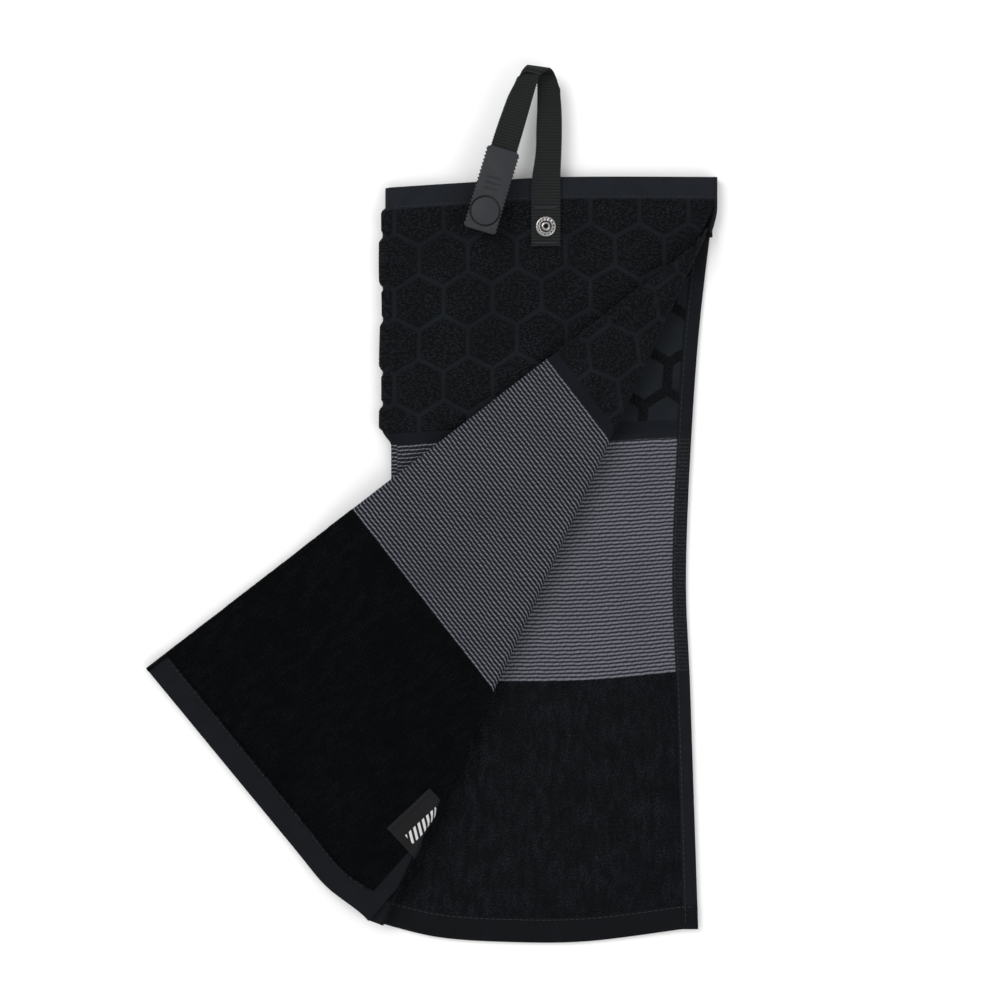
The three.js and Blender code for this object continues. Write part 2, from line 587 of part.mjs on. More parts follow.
const studBottom = WEB_TOP + LAYER_GAP;
const studTop = studBottom + STUD_PLY;
const postTop = studTop + POST_HEIGHT;
const barrelTop = studTop + 0.4;
addPart("snap_stud", lathe([
  [BARREL_RADIUS + 0.15, studBottom], [STUD_RADIUS - 0.2, studBottom], [STUD_RADIUS, studBottom + 0.2],
  [STUD_RADIUS - 0.5, studTop], [POST_RADIUS - 0.35, studTop + 0.1],
  [POST_RADIUS - 0.35, studTop + 0.6], [POST_RADIUS, studTop + 1.1], [POST_RADIUS - 0.3, postTop],
  [POST_BORE, postTop], [POST_BORE, barrelTop + 0.3], [BARREL_RADIUS + 0.15, barrelTop + 0.3],
  [BARREL_RADIUS + 0.15, studBottom],
], WEB_OFFSET, studY), STEEL);
const eyeletTop = WEB_LEVEL - LAYER_GAP;
addPart("snap_eyelet", lathe([
  [0, eyeletTop - STUD_PLY], [STUD_RADIUS - LAYER_GAP, eyeletTop - STUD_PLY],
  [STUD_RADIUS - LAYER_GAP, eyeletTop], [BARREL_RADIUS, eyeletTop],
  [BARREL_RADIUS, barrelTop], [0, barrelTop],
], WEB_OFFSET, studY), BRASS);
[["lower_bar_tack", webEnd + TACK_INSET], ["upper_bar_tack", -TACK_INSET - TOP_HEM]].forEach(
  ([name, y]) => addPart(name, box(TACK_WIDTH, TACK_LENGTH, THREAD_PLY,
    WEB_OFFSET, y, WEB_TOP + THREAD_GAP + THREAD_PLY / 2), THREAD));

// ---- origin: under the middle of the whole towel ---------------------------------------------

const size = new THREE.Box3().setFromObject(towel);
const middlePoint = size.getCenter(new THREE.Vector3());
towel.position.set(-middlePoint.x, -middlePoint.y, -size.min.z);

export default towel;
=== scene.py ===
"""A tri-fold golf towel lying flat, with its hems, label, webbing strap, pull tab and snap."""
import json
import math

import bmesh
import bpy
import numpy as np
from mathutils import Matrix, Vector


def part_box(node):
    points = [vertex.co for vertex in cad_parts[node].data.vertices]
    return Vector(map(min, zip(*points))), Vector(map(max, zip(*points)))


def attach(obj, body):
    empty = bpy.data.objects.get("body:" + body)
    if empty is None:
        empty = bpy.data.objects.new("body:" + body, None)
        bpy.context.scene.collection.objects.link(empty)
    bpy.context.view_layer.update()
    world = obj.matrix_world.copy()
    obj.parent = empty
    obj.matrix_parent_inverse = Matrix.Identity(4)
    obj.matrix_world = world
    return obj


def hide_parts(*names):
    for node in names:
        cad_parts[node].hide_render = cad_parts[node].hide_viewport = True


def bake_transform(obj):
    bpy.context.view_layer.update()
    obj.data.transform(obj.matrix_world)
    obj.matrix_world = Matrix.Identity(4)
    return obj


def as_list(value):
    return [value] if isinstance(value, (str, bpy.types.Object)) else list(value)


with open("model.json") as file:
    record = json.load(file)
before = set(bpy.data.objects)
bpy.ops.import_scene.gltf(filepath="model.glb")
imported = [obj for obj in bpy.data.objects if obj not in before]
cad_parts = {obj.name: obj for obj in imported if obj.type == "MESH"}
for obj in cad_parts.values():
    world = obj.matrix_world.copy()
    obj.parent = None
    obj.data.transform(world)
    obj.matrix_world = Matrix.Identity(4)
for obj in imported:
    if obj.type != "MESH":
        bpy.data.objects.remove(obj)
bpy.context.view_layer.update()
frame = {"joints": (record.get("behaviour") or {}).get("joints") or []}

MM, NARROWEST_SHEET = 0.001, 0.01

# ---- driving dimensions, in millimetres; x = 0, y = 0 is the middle of the towel's top edge ----
WIDTH, LENGTH = 178.0, 406.0
TOP_HEM, SIDE_HEM, BOTTOM_HEM = 12.0, 8.5, 13.5
SCRUB_END, STRIPE_END = 137.0, 267.0
MIDDLE_END, TUCKED_END, TUCKED_HEM_END = LENGTH - 24, LENGTH - 48, LENGTH - 60
PAD_END, REVERSE_STRIPES = 130.5, 140.3
HEX_WIDTH = 26.0
HEX_ROWS = HEX_WIDTH * math.sqrt(3) / 2
HEX_PHASE = (6.0, -5.5)
STRIPE_PITCH = 2.04
CORE = 0.62
GRID, FOLD_STEPS = 1.5, 14
TOP_BOW, WAIST = 5.8, 16.0
CREASE_START, SKEW = 25.6, 2.55
CREASE_REACH, CREASE_FLATTENING = 20.0, 3.2
FLATTENED_FROM, FLATTENED_TO = -394.0, -366.0
SAG_START, SAG_RUN = 3.0, 46.0
WEB_WIDTH, WEB_PLY, RIB_PITCH = 15.0, 1.4, 1.6
STRAP_ANGLE, FREE_LEG = 16.7, 57.0
LOOP_RADIUS, LOOP_SHIFT = 3.35, 9.5
STUD_X, STUD_Y = -2.6, -23.7
LABEL_FOOT, LABEL_HEADING = np.array([-86.8, -341.7]), 47.0
VIEW_CENTRE, VIEW_WIDTH = (-26.9, -168.5, 0.0), 0.5333

stud_low, stud_high = (np.array(corner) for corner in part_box("snap_stud"))
ORIGIN = (stud_low + stud_high) / 2 - np.array([STUD_X, STUD_Y, 0]) * MM
ORIGIN[2] = 0


def metres(points):
    return np.asarray(points, float) * MM + ORIGIN


def in_mm(node):
    low, high = (np.array(corner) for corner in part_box(node))
    return (low - ORIGIN) / MM, (high - ORIGIN) / MM


def joint(name):
    return next(j for j in frame["joints"] if j["name"] == name)


BACK, TUCKED, MIDDLE = (in_mm(f"{name}_panel")[0][2] for name in ("back", "tucked", "middle"))
PLY = in_mm("back_panel")[1][2] - BACK
LEVEL = TUCKED - BACK
FLAP_LOWER, FLAP_UPPER = MIDDLE + LEVEL, MIDDLE + 2 * LEVEL
HALF = WIDTH / 2
LEFT_AXIS = in_mm("left_fold")[1][0]
LEFT_EDGE = in_mm("left_fold")[0][0]
RIGHT_AXIS = in_mm("right_fold")[0][0]
BOTTOM = in_mm("back_bottom_hem")[0][1]

turn = joint("flap_turn")
CREASE_POINT = (np.array(turn["pos_m"]) - ORIGIN) / MM
CREASE_UP = np.array(turn["axis"], float)[:2]
CREASE_LEVEL = CREASE_POINT[2]
CREASE_LEFT = np.array([-CREASE_UP[1], CREASE_UP[0]])
CREASE_ANGLE = math.degrees(math.atan2(CREASE_UP[0], CREASE_UP[1]))
INNER_RADIUS = (CREASE_LEVEL - MIDDLE) / 2 + 0.1
OUTER_RADIUS = CREASE_LEVEL - TUCKED - PLY / 2
PAIR_RADIUS = (PLY + LEVEL) / 4
CREASE_TOP = CREASE_POINT[:2] - CREASE_LEFT * (CREASE_LEVEL - TUCKED)
BEFORE_CREASE = (CREASE_POINT[:2], -CREASE_LEFT)


def heading(degrees):
    """Unit vector that many degrees round from straight down, clockwise seen from above."""
    return np.array([-math.sin(math.radians(degrees)), -math.cos(math.radians(degrees))])


FLAP_DOWN = heading(2 * CREASE_ANGLE + SKEW)
FLAP_ACROSS = np.array([-FLAP_DOWN[1], FLAP_DOWN[0]])


def smooth(low, high, value):
    """Eases from 0 at low to 1 at high; low may be the larger."""
    share = np.clip((value - low) / (high - low), 0, 1)
    return share * share * (3 - 2 * share)


def ripple(x, y, size, seed):
    """Gentle uneven waves, about -1 to 1."""
    total = np.zeros_like(np.asarray(x, float))
    for index in range(5):
        angle = seed * 1.7 + index * 2.4
        along = x * math.cos(angle) + y * math.sin(angle)
        total += np.sin(along * 2 * math.pi / (size * (0.7 + 0.23 * index)) + seed * 3.1 + index)
    return total / 3


# ---- outlines ----------------------------------------------------------------------------------

def spline(points, count):
    """Catmull-Rom curve through the points."""
    points = np.array(points, float)
    places = np.linspace(0, len(points) - 1, count)
    index = np.minimum(places.astype(int), len(points) - 2)
    t = (places - index)[:, None]
    before, after = np.maximum(index - 1, 0), np.minimum(index + 2, len(points) - 1)
    p0, p1, p2, p3 = points[before], points[index], points[index + 1], points[after]
    v0, v1 = (p2 - p0) / 2, (p3 - p1) / 2
    return ((2 * p1 - 2 * p2 + v0 + v1) * t**3 + (-3 * p1 + 3 * p2 - 2 * v0 - v1) * t**2
            + v0 * t + p1)


TOP = spline([(-HALF, -TOP_BOW / 2), (-HALF / 2, 0), (5, TOP_BOW / 2), (HALF, TOP_BOW / 2)], 60)
SIDE = spline([(HALF - 0.5, 0), (HALF - WAIST * 0.68, -LENGTH * 0.22),
               (HALF - WAIST - 0.7, -LENGTH * 0.49), (HALF - WAIST + 1.5, -LENGTH * 0.67),
               (HALF - WAIST + 5.5, -LENGTH * 0.97), (HALF - WAIST + 6, -LENGTH * 1.01)], 80)
FOOT = spline([(HALF - WAIST + 7, BOTTOM + 7), (HALF * 0.3, BOTTOM + 0.5), (-HALF * 0.2, BOTTOM),
               (-HALF * 0.66, BOTTOM + 2.7), (-HALF - 6, BOTTOM + 11)], 60)[::-1]


def pinch(v):
    """How far the folded left edge draws in where the cloth is thin."""
    return 4.6 * smooth(SCRUB_END - 7, SCRUB_END + 1, v) * (1 - 0.6 * smooth(300, 380, v))


def top_y(x):
    """The top edge's height at x; side_x and foot_y do the same for the other two edges."""
    return np.interp(x, TOP[:, 0], TOP[:, 1])


def side_x(y):
    return np.interp(-y, -SIDE[:, 1], SIDE[:, 0])


def foot_y(x):
    return np.interp(x, FOOT[:, 0], FOOT[:, 1])


def back_plan(u, v):
    """Where cloth coordinates (across, down) of the back panel lie."""
    share = v / LENGTH
    guess = -HALF + u
    y = (1 - share) * top_y(guess) + share * foot_y(guess)
    left = LEFT_AXIS - 4.5 * smooth(0.93, 1, share) + pinch(v)
    return left + (u / WIDTH) * (side_x(y) - left), y


def middle_plan(u, v):
    x = -HALF + u
    near_left = 1 - smooth(0, 40, x - LEFT_AXIS)
    return x + pinch(v) * near_left, top_y(x) - v


def flap_plan(u, v):
    """The flap's cloth, laid out past the crease as well; its free corner is pulled back a little."""
    pulled = -(0.032 * u + 7 * smooth(138, WIDTH, u) ** 1.5) * smooth(220, LENGTH, v)
    pulled = pulled - 0.6 * np.maximum(u - WIDTH, 0) * smooth(300, LENGTH, v)
    narrowed = 0.2 * np.clip(LENGTH - v, 0, 60) * smooth(120, WIDTH, u) * smooth(300, 340, v)
    down, over = v - CREASE_START + pulled, u - narrowed
    return (CREASE_TOP[0] + FLAP_DOWN[0] * down + FLAP_ACROSS[0] * over,
            CREASE_TOP[1] + FLAP_DOWN[1] * down + FLAP_ACROSS[1] * over)


def past_crease(x, y):
    """Distance on the flap's side of the crease axis."""
    return (x - CREASE_POINT[0]) * CREASE_LEFT[0] + (y - CREASE_POINT[1]) * CREASE_LEFT[1]


def on_axis(rise):
    """A point over the middle of the crease axis, in metres."""
    return tuple(metres([*CREASE_POINT[:2], CREASE_LEVEL + rise]))


def sag(x):
    """The flap's corner hangs down to the table left of the towel's edge."""
    return -FLAP_LOWER * smooth(0, SAG_RUN, LEFT_EDGE - SAG_START - x)


# ---- reliefs: height of a surface over the cloth's core, in millimetres ------------------------

def hex_margin(u, v):
    """Distance to the nearest side of the hexagon that holds (u, v)."""
    size = np.array([HEX_WIDTH, 2 * HEX_ROWS])
    place = np.stack([np.asarray(u) - HEX_PHASE[0], np.asarray(v) - HEX_PHASE[1]], -1)
    first = place - size * np.round(place / size)
    other = place + size / 2
    second = other - size * np.round(other / size)
    nearer = (first**2).sum(-1) < (second**2).sum(-1)
    cell = np.abs(np.where(nearer[..., None], first, second))
    return HEX_WIDTH / 2 - np.maximum(cell[..., 0], cell @ np.array([0.5, math.sqrt(3) / 2]))


def face_relief(u, v):
    pads = 0.62 * smooth(0.6, 3.2, np.minimum(hex_margin(u, v), PAD_END - v + 0.6))
    pile = 0.45 + 0.08 * ripple(u, v, 9, 3)
    return np.where(v < SCRUB_END - 1, pads, np.where(v < STRIPE_END + 1, 0.22, pile))


def reverse_relief(u, v):
    lines = 0.6 * (1 - smooth(1.6, 3.4, hex_margin(u, v))) * smooth(PAD_END + 1, PAD_END - 1, v)
    return np.where(v < SCRUB_END - 1, lines, np.where(v < STRIPE_END + 1, 0.3, 0.4))


def rolled(distance, reach=1.6, depth=0.55):
    """Rounds a surface down towards a free edge."""
    return -depth * (1 - np.sqrt(np.clip(1 - (1 - np.clip(distance / reach, 0, 1)) ** 2, 0, 1)))


# ---- mesh building -----------------------------------------------------------------------------

def new_object(name, verts, faces, looks, look_of=None, sharp=55):
    mesh = bpy.data.meshes.new(name)
    mesh.from_pydata([tuple(v) for v in verts], [], faces)
    for look in looks:
        mesh.materials.append(look)
    if look_of is not None:
        mesh.polygons.foreach_set("material_index", np.asarray(look_of, np.int32))
    mesh.polygons.foreach_set("use_smooth", np.ones(len(mesh.polygons), bool))
    mesh.set_sharp_from_angle(angle=math.radians(sharp))
    mesh.update()
    obj = bpy.data.objects.new(name, mesh)
    bpy.context.scene.collection.objects.link(obj)
    return obj


def mark_cloth(piece, coords):
    """Keeps every vertex's place on the flat cloth (across, down, 0) for the materials."""
    layer = piece.data.attributes.new("cloth", "FLOAT_VECTOR", "POINT")
    layer.data.foreach_set("vector", np.array(coords, np.float32).ravel())


def outward(piece):
    """Turns all faces of a closed mesh outward."""
    bm = bmesh.new()
    bm.from_mesh(piece.data)
    bmesh.ops.recalc_face_normals(bm, faces=bm.faces)
    bm.to_mesh(piece.data)
    bm.free()


def tube_faces(rings, around, closed=False):
    """Quads that join rings of so many points; a closed tube meets itself, others get caps."""
    faces = [[i * around + j, i * around + (j + 1) % around,
              (i + 1) % rings * around + (j + 1) % around, (i + 1) % rings * around + j]
             for i in range(rings if closed else rings - 1) for j in range(around)]
    if not closed:
        faces += [list(range(around))[::-1], [(rings - 1) * around + j for j in range(around)]]
    return faces


def steps(*stops):
    """Grid lines that pass through every stop, about GRID apart."""
    lines = [np.linspace(a, b, max(2, int(round((b - a) / GRID)) + 1))[:-1]
             for a, b in zip(stops, stops[1:])]
    return np.concatenate([*lines, [stops[-1]]])


def flat_grid(us, vs, plan, cuts):
    """A grid over cloth coordinates, laid out by plan and trimmed by straight cuts."""
    u, v = np.meshgrid(us, vs)
    x, y = plan(u, v)
    bm = bmesh.new()
    cloth = bm.verts.layers.float_vector.new("cloth")
    rows = []
    for i in range(len(vs)):
        row = []
        for j in range(len(us)):
            vert = bm.verts.new((x[i, j], y[i, j], 0))
            vert[cloth] = (u[i, j], v[i, j], 0)
            row.append(vert)
        rows.append(row)
    for upper, lower in zip(rows, rows[1:]):
        for j in range(len(us) - 1):
            bm.faces.new((upper[j], lower[j], lower[j + 1], upper[j + 1]))
    for point, away in cuts:
        bmesh.ops.bisect_plane(
            bm, geom=[*bm.verts, *bm.edges, *bm.faces], plane_co=(*point, 0),
            plane_no=(*away, 0), clear_outer=True, dist=1e-4)
    bm.normal_update()
    if sum(face.normal.z for face in bm.faces) < 0:
        bmesh.ops.reverse_faces(bm, faces=bm.faces)
    bm.verts.index_update()
    places = np.array([vert.co[:2] for vert in bm.verts])
    coords = np.array([vert[cloth][:2] for vert in bm.verts])
    faces = [[vert.index for vert in face.verts] for face in bm.faces]
    rims = [[loop.vert.index, loop.link_loop_next.vert.index]
            for face in bm.faces for loop in face.loops if len(loop.edge.link_faces) == 1]
    bm.free()
    return places, coords, faces, rims


def cloth_piece(name, grid, surface, rise, sink, looks, pick):
    """A closed sheet: top and bottom stand off the mid-surface by rise and sink (mm)."""
    places, coords, faces, rims = grid
    u, v = coords.T
    centre, normal = surface(places[:, 0], places[:, 1])
    top = centre + normal * (CORE + rise(u, v))[:, None]
    bottom = centre - normal * (CORE + sink(u, v))[:, None]
    count = len(places)
    under = [[index + count for index in reversed(face)] for face in faces]
    walls = [[b, a, a + count, b + count] for a, b in rims]
    middles = np.array([v[face].mean() for face in faces])
    choice = [pick(m, True) for m in middles] + [pick(m, False) for m in middles]
    choice += [pick(v[a], True) for a, _ in rims]
    obj = new_object(name, metres(np.concatenate([top, bottom])), faces + under + walls,
                     looks, choice)
    both = np.zeros((2 * count, 3), np.float32)
    both[:count, :2] = both[count:, :2] = coords
    mark_cloth(obj, both)
    return obj


def level_surface(height):
    def surface(x, y):
        z = height(x, y) if callable(height) else np.full_like(x, height)
        normal = np.zeros((len(x), 3))
        if callable(height):
            step = 0.5
            normal[:, 0] = -(height(x + step, y) - height(x - step, y)) / (2 * step)
            normal[:, 1] = -(height(x, y + step) - height(x, y - step)) / (2 * step)
        normal[:, 2] = 1
        normal /= np.linalg.norm(normal, axis=1)[:, None]
        return np.stack([x, y, z], 1), normal
    return surface


def rolled_surface(radius):
    """Cloth wrapped half round the crease axis; past_crease runs from 0 down to -pi * radius."""
    def surface(x, y):
        past = past_crease(x, y)
        angle = math.pi + past / radius
        foot = np.stack([x, y], 1) - past[:, None] * CREASE_LEFT
        reach = radius - min(CREASE_FLATTENING, 0.6 * radius) * smooth(
            FLATTENED_FROM, FLATTENED_TO, foot[:, 1])
        out = np.sin(angle)
        up = -np.cos(angle)
        centre = np.zeros((len(x), 3))
        centre[:, :2] = foot - CREASE_LEFT * (reach * out)[:, None]
        centre[:, 2] = CREASE_LEVEL + radius * up
        normal = np.zeros((len(x), 3))
        normal[:, :2] = -CREASE_LEFT * out[:, None]
        normal[:, 2] = up
        return centre, normal
    return surface


# ---- materials ---------------------------------------------------------------------------------

class Look:
    """Builds one node material; sockets and numbers can be mixed freely as inputs."""

    def __init__(self, name, roughness, **fixed):
        self.material = bpy.data.materials.new(name)
        self.material.use_nodes = True
        self.tree = self.material.node_tree
        self.shader = self.tree.nodes["Principled BSDF"]
        self.shader.inputs["Roughness"].default_value = roughness
        for socket, value in fixed.items():
            self.shader.inputs[socket.replace("_", " ")].default_value = value

    def node(self, kind, *inputs, out=0, **settings):
        node = self.tree.nodes.new(kind)
        for key, value in settings.items():
            setattr(node, key, value)
        for index, value in enumerate(inputs):
            if isinstance(value, bpy.types.NodeSocket):
                self.tree.links.new(value, node.inputs[index])
            elif value is not None:
                node.inputs[index].default_value = value
        return node.outputs[out]

    def math(self, operation, *inputs):
        return self.node("ShaderNodeMath", *inputs, operation=operation)

    def plus(self, first, second):
        return self.math("ADD", first, second)

    def minus(self, first, second):
        return self.math("SUBTRACT", first, second)

    def times(self, first, second):
        return self.math("MULTIPLY", first, second)

    def linear(self, value, slope, start):
        return self.math("MULTIPLY_ADD", value, slope, start)

    def rest(self, share):
        """What is left of 1."""
        return self.math("SUBTRACT", 1.0, share)

    def near(self, value, middle, low, high):
        """1 where value is within low of middle, easing to 0 at high."""
        return self.rest(self.ramp(self.math("ABSOLUTE", self.minus(value, middle)), low, high))

    def split(self, vector):
        node = self.tree.nodes.new("ShaderNodeSeparateXYZ")
        self.tree.links.new(vector, node.inputs[0])
        return node.outputs[0], node.outputs[1]

    def vector(self, operation, *inputs, out=0):
        return self.node("ShaderNodeVectorMath", *inputs, operation=operation, out=out)

    def cloth(self):
        return self.node("ShaderNodeAttribute", attribute_name="cloth", out=1)

    def place(self):
        return self.node("ShaderNodeTexCoord", out=3)

    def ramp(self, value, low, high):
        return self.node("ShaderNodeMapRange", value, low, high, 0.0, 1.0,
                         interpolation_type="SMOOTHSTEP")

    def noise(self, vector, scale, detail=2.0, roughness=0.5):
        return self.node("ShaderNodeTexNoise", vector, None, scale, detail, roughness)

    def cells(self, vector, scale):
        return self.node("ShaderNodeTexVoronoi", vector, None, scale, feature="F1")

    def mix(self, share, first, second):
        node = self.tree.nodes.new("ShaderNodeMix")
        node.data_type = "RGBA"
        for socket, value in ((node.inputs[0], share), (node.inputs[6], first),
                              (node.inputs[7], second)):
            if isinstance(value, bpy.types.NodeSocket):
                self.tree.links.new(value, socket)
            else:
                socket.default_value = value
        return node.outputs[2]

    def colour(self, value):
        self.tree.links.new(value, self.shader.inputs["Base Color"])
        return self

    def rough(self, value):
        self.tree.links.new(value, self.shader.inputs["Roughness"])
        return self

    def bump(self, height, distance_mm, strength=0.8):
        node = self.tree.nodes.new("ShaderNodeBump")
        node.inputs["Strength"].default_value = strength
        node.inputs["Distance"].default_value = distance_mm * MM
        self.tree.links.new(height, node.inputs["Height"])
        self.tree.links.new(node.outputs[0], self.shader.inputs["Normal"])
        return self


def grey(level, blue=1.25):
    return (level * 0.86, level * 1.02, level * blue, 1)


def hexagons(look, cloth):
    """Distance to the nearest hexagon side, in millimetres, a little uneven."""
    wobble = look.noise(cloth, 0.35, 2)
    shake = look.vector("SCALE", look.vector("SUBTRACT", look.node(
        "ShaderNodeTexNoise", cloth, None, 0.6, 2.0, out=1), (0.5, 0.5, 0.5)), None, None, 1.6)
    moved = look.vector("SUBTRACT", look.vector("ADD", cloth, shake), (*HEX_PHASE, 0))
    place = look.vector("MULTIPLY", moved, (1, 1, 0))
    half = (HEX_WIDTH / 2, HEX_ROWS, 1)
    low = (-HEX_WIDTH / 2, -HEX_ROWS, -1)
    first = look.vector("WRAP", place, half, low)
    second = look.vector("WRAP", look.vector("ADD", place, (HEX_WIDTH / 2, HEX_ROWS, 0)), half, low)
    nearer = look.math("LESS_THAN", look.vector("DOT_PRODUCT", first, first, out=1),
                       look.vector("DOT_PRODUCT", second, second, out=1))
    node = look.tree.nodes.new("ShaderNodeMix")
    node.data_type = "VECTOR"
    look.tree.links.new(nearer, node.inputs[0])
    look.tree.links.new(second, node.inputs[4])
    look.tree.links.new(first, node.inputs[5])
    cell = look.vector("ABSOLUTE", node.outputs[1])
    split = look.node("ShaderNodeSeparateXYZ", cell)
    slanted = look.vector("DOT_PRODUCT", cell, (0.5, math.sqrt(3) / 2, 0), out=1)
    edge = look.minus(HEX_WIDTH / 2, look.math("MAXIMUM", split, slanted))
    return look.plus(edge, look.times(look.minus(wobble, 0.5), 0.8))


def loops(look, cloth, size):
    """Small terry loops, 0 to 1."""
    shaken = look.vector("ADD", cloth, look.vector("SCALE", look.node(
        "ShaderNodeTexNoise", cloth, None, 0.9, 3.0, out=1), None, None, 1.2))
    return look.rest(look.cells(shaken, 1 / size))


def weave(look, cloth, pitch):
    """A fine plain weave, 0 to 1."""
    wave = look.vector("SINE", look.vector("SCALE", cloth, None, None, 2 * math.pi / pitch))
    return look.linear(look.times(*look.split(wave)), 0.5, 0.5)


def scrub(name, reverse):
    """Piled hexagons with smooth lines between them; the reverse has it the other way round."""
    look = Look(name, 0.95, Specular_IOR_Level=0.06, Sheen_Weight=0.01)
    cloth = look.cloth()
    edge = hexagons(look, cloth)
    pile = loops(look, look.vector("MULTIPLY", cloth, (0.8, 1.25, 1)), 1.35)
    cloud = look.noise(cloth, 0.045, 3)
    speck = look.noise(cloth, 1.4, 3, 0.7)
    down = look.node("ShaderNodeSeparateXYZ", cloth, out=1)
    border = look.ramp(down, PAD_END - 0.4, PAD_END + 0.4)
    if reverse:
        pads = look.rest(look.ramp(edge, 1.9, 3.1))
        flat, raised, lit = grey(0.0165), grey(0.0036), grey(0.012)
    else:
        pads = look.ramp(edge, 0.8, 1.9)
        flat, raised, lit = grey(0.0108), grey(0.0036), grey(0.021)
    pads = look.times(pads, look.rest(border))
    loop = look.times(look.times(pads, look.ramp(pile, 0.35, 0.95)), 0.85)
    tone = look.mix(loop, look.mix(pads, flat, raised), lit)
    tone = look.mix(look.times(look.ramp(speck, 0.52, 0.72), 0.45), tone, grey(0.021))
    tone = look.mix(look.times(border, 0.75), tone, grey(0.0085, 1.45))
    look.colour(look.mix(look.ramp(cloud, 0.35, 0.7), look.mix(0.35, tone, grey(0.004)), tone))
    ridge = look.times(weave(look, cloth, 0.8), 0.12)
    height = look.plus(look.times(pads, look.linear(pile, 1.1, 0.4)), ridge)
    return look.bump(height, 1.1, 1.0).material


def stripes(name, reverse):
    """Rows of slightly slanted dashes, longer and thicker on the reverse."""
    dash_length, slant, duty, swing = (4.6, 0.10, 0.58, 0.4) if reverse else (3.0, 0.14, 0.34, 0.6)
    look = Look(name, 0.9, Specular_IOR_Level=0.1, Sheen_Weight=0.01)
    cloth = look.cloth()
    across, down = look.split(cloth)
    wander = look.noise(cloth, 0.12, 2)
    rows = look.math("DIVIDE", down, STRIPE_PITCH)
    stagger = look.plus(look.times(look.math("FLOOR", rows), 0.618), look.times(wander, 1.2))
    phase = look.plus(look.math("DIVIDE", across, dash_length), stagger)
    inside = look.minus(look.math("FRACT", phase), 0.5)
    sway = look.times(look.minus(wander, 0.5), 0.5)
    shifted = look.plus(look.plus(rows, sway), look.times(inside, slant))
    ridge = look.times(look.math("ABSOLUTE", look.minus(look.math("FRACT", shifted), 0.5)), 2.0)
    line = look.rest(look.ramp(ridge, duty - 0.3, duty + 0.16))
    ends = look.rest(look.ramp(look.math("ABSOLUTE", inside), 0.26, 0.5))
    fibres = look.noise(cloth, 2.2, 3, 0.7)
    strength = look.times(look.linear(ends, swing, 1 - swing), look.linear(fibres, 1.3, 0.35))
    if reverse:
        light, weft = (0.162, 0.162, 0.192, 1), (0.016, 0.016, 0.023, 1)
        begun = look.ramp(down, REVERSE_STRIPES - 0.4, REVERSE_STRIPES)
        dark = look.mix(begun, grey(0.0085, 1.3), weft)
        line = look.times(line, look.ramp(down, REVERSE_STRIPES - 0.2, REVERSE_STRIPES + 0.2))
    else:
        light, dark = (0.205, 0.21, 0.235, 1), (0.0085, 0.0095, 0.0145, 1)
    cloud = look.noise(cloth, 0.03, 2)
    drawn = look.times(line, strength)
    look.colour(look.mix(look.times(drawn, look.linear(cloud, 0.5, 0.75)), dark, light))
    return look.bump(drawn, 0.45).material


def pile(name, level, size, contrast):
    """Brushed terry or velour."""
    look = Look(name, 1.0, Specular_IOR_Level=0.04, Sheen_Weight=0.01)
    cloth = look.cloth()
    tufts = loops(look, cloth, size)
    cloud = look.noise(cloth, 0.05, 3)
    grain = look.noise(cloth, 1.1, 4, 0.7)
    brushed = look.noise(look.vector("MULTIPLY", cloth, (0.22, 0.09, 1)), 1.0, 4, 0.65)
    tone = look.mix(look.ramp(grain, 0.38, 0.68), grey(level * 0.35), grey(level * contrast))
    # painted shade: the gaps between the tufts are darkened
    tone = look.mix(look.times(look.rest(tufts), 0.6), tone, grey(level * 0.3))
    patchy = look.times(look.ramp(brushed, 0.35, 0.7), look.ramp(cloud, 0.2, 0.6))
    look.colour(look.mix(patchy, look.mix(0.72, tone, grey(level * 0.25)), tone))
    return look.bump(look.linear(grain, 0.9, tufts), 1.0, 1.0).material


def hem(name, level, speckled=False):
    """Plain woven tape; speckled adds the stripes' thread ends beside the striped band."""
    look = Look(name, 0.85, Specular_IOR_Level=0.1, Sheen_Weight=0.01)
    cloth = look.cloth()
    threads = weave(look, cloth, 0.75)
    cloud = look.noise(cloth, 0.09, 3)
    grain = look.noise(cloth, 2.5, 2)
    tone = look.mix(look.times(threads, 0.5), grey(level * 0.8, 1.35), grey(level * 1.4, 1.35))
    tone = look.mix(look.times(look.ramp(cloud, 0.35, 0.7), 0.6), tone, grey(level * 0.7))
    if speckled:
        down = look.node("ShaderNodeSeparateXYZ", cloth, out=1)
        row = look.math("SINE", look.times(down, 2 * math.pi / STRIPE_PITCH))
        dots = look.times(look.ramp(row, 0.0, 0.8), look.ramp(grain, 0.5, 0.66))
        zone = look.times(look.ramp(down, SCRUB_END + 3, SCRUB_END + 4),
                          look.rest(look.ramp(down, STRIPE_END - 1, STRIPE_END)))
        tone = look.mix(look.times(dots, zone), tone, (0.075, 0.075, 0.085, 1))
    look.colour(tone)
    return look.bump(look.linear(grain, 0.4, threads), 0.25).material


def thread_look():
    look = Look("sewing_thread", 0.6, Specular_IOR_Level=0.2)
    place = look.place()
    strands = look.node("ShaderNodeTexWave", place, 900.0, 1.0, 2.0, out=1)
    tone = look.mix(strands, grey(0.009), grey(0.03))
    return look.colour(tone).bump(strands, 0.08).material


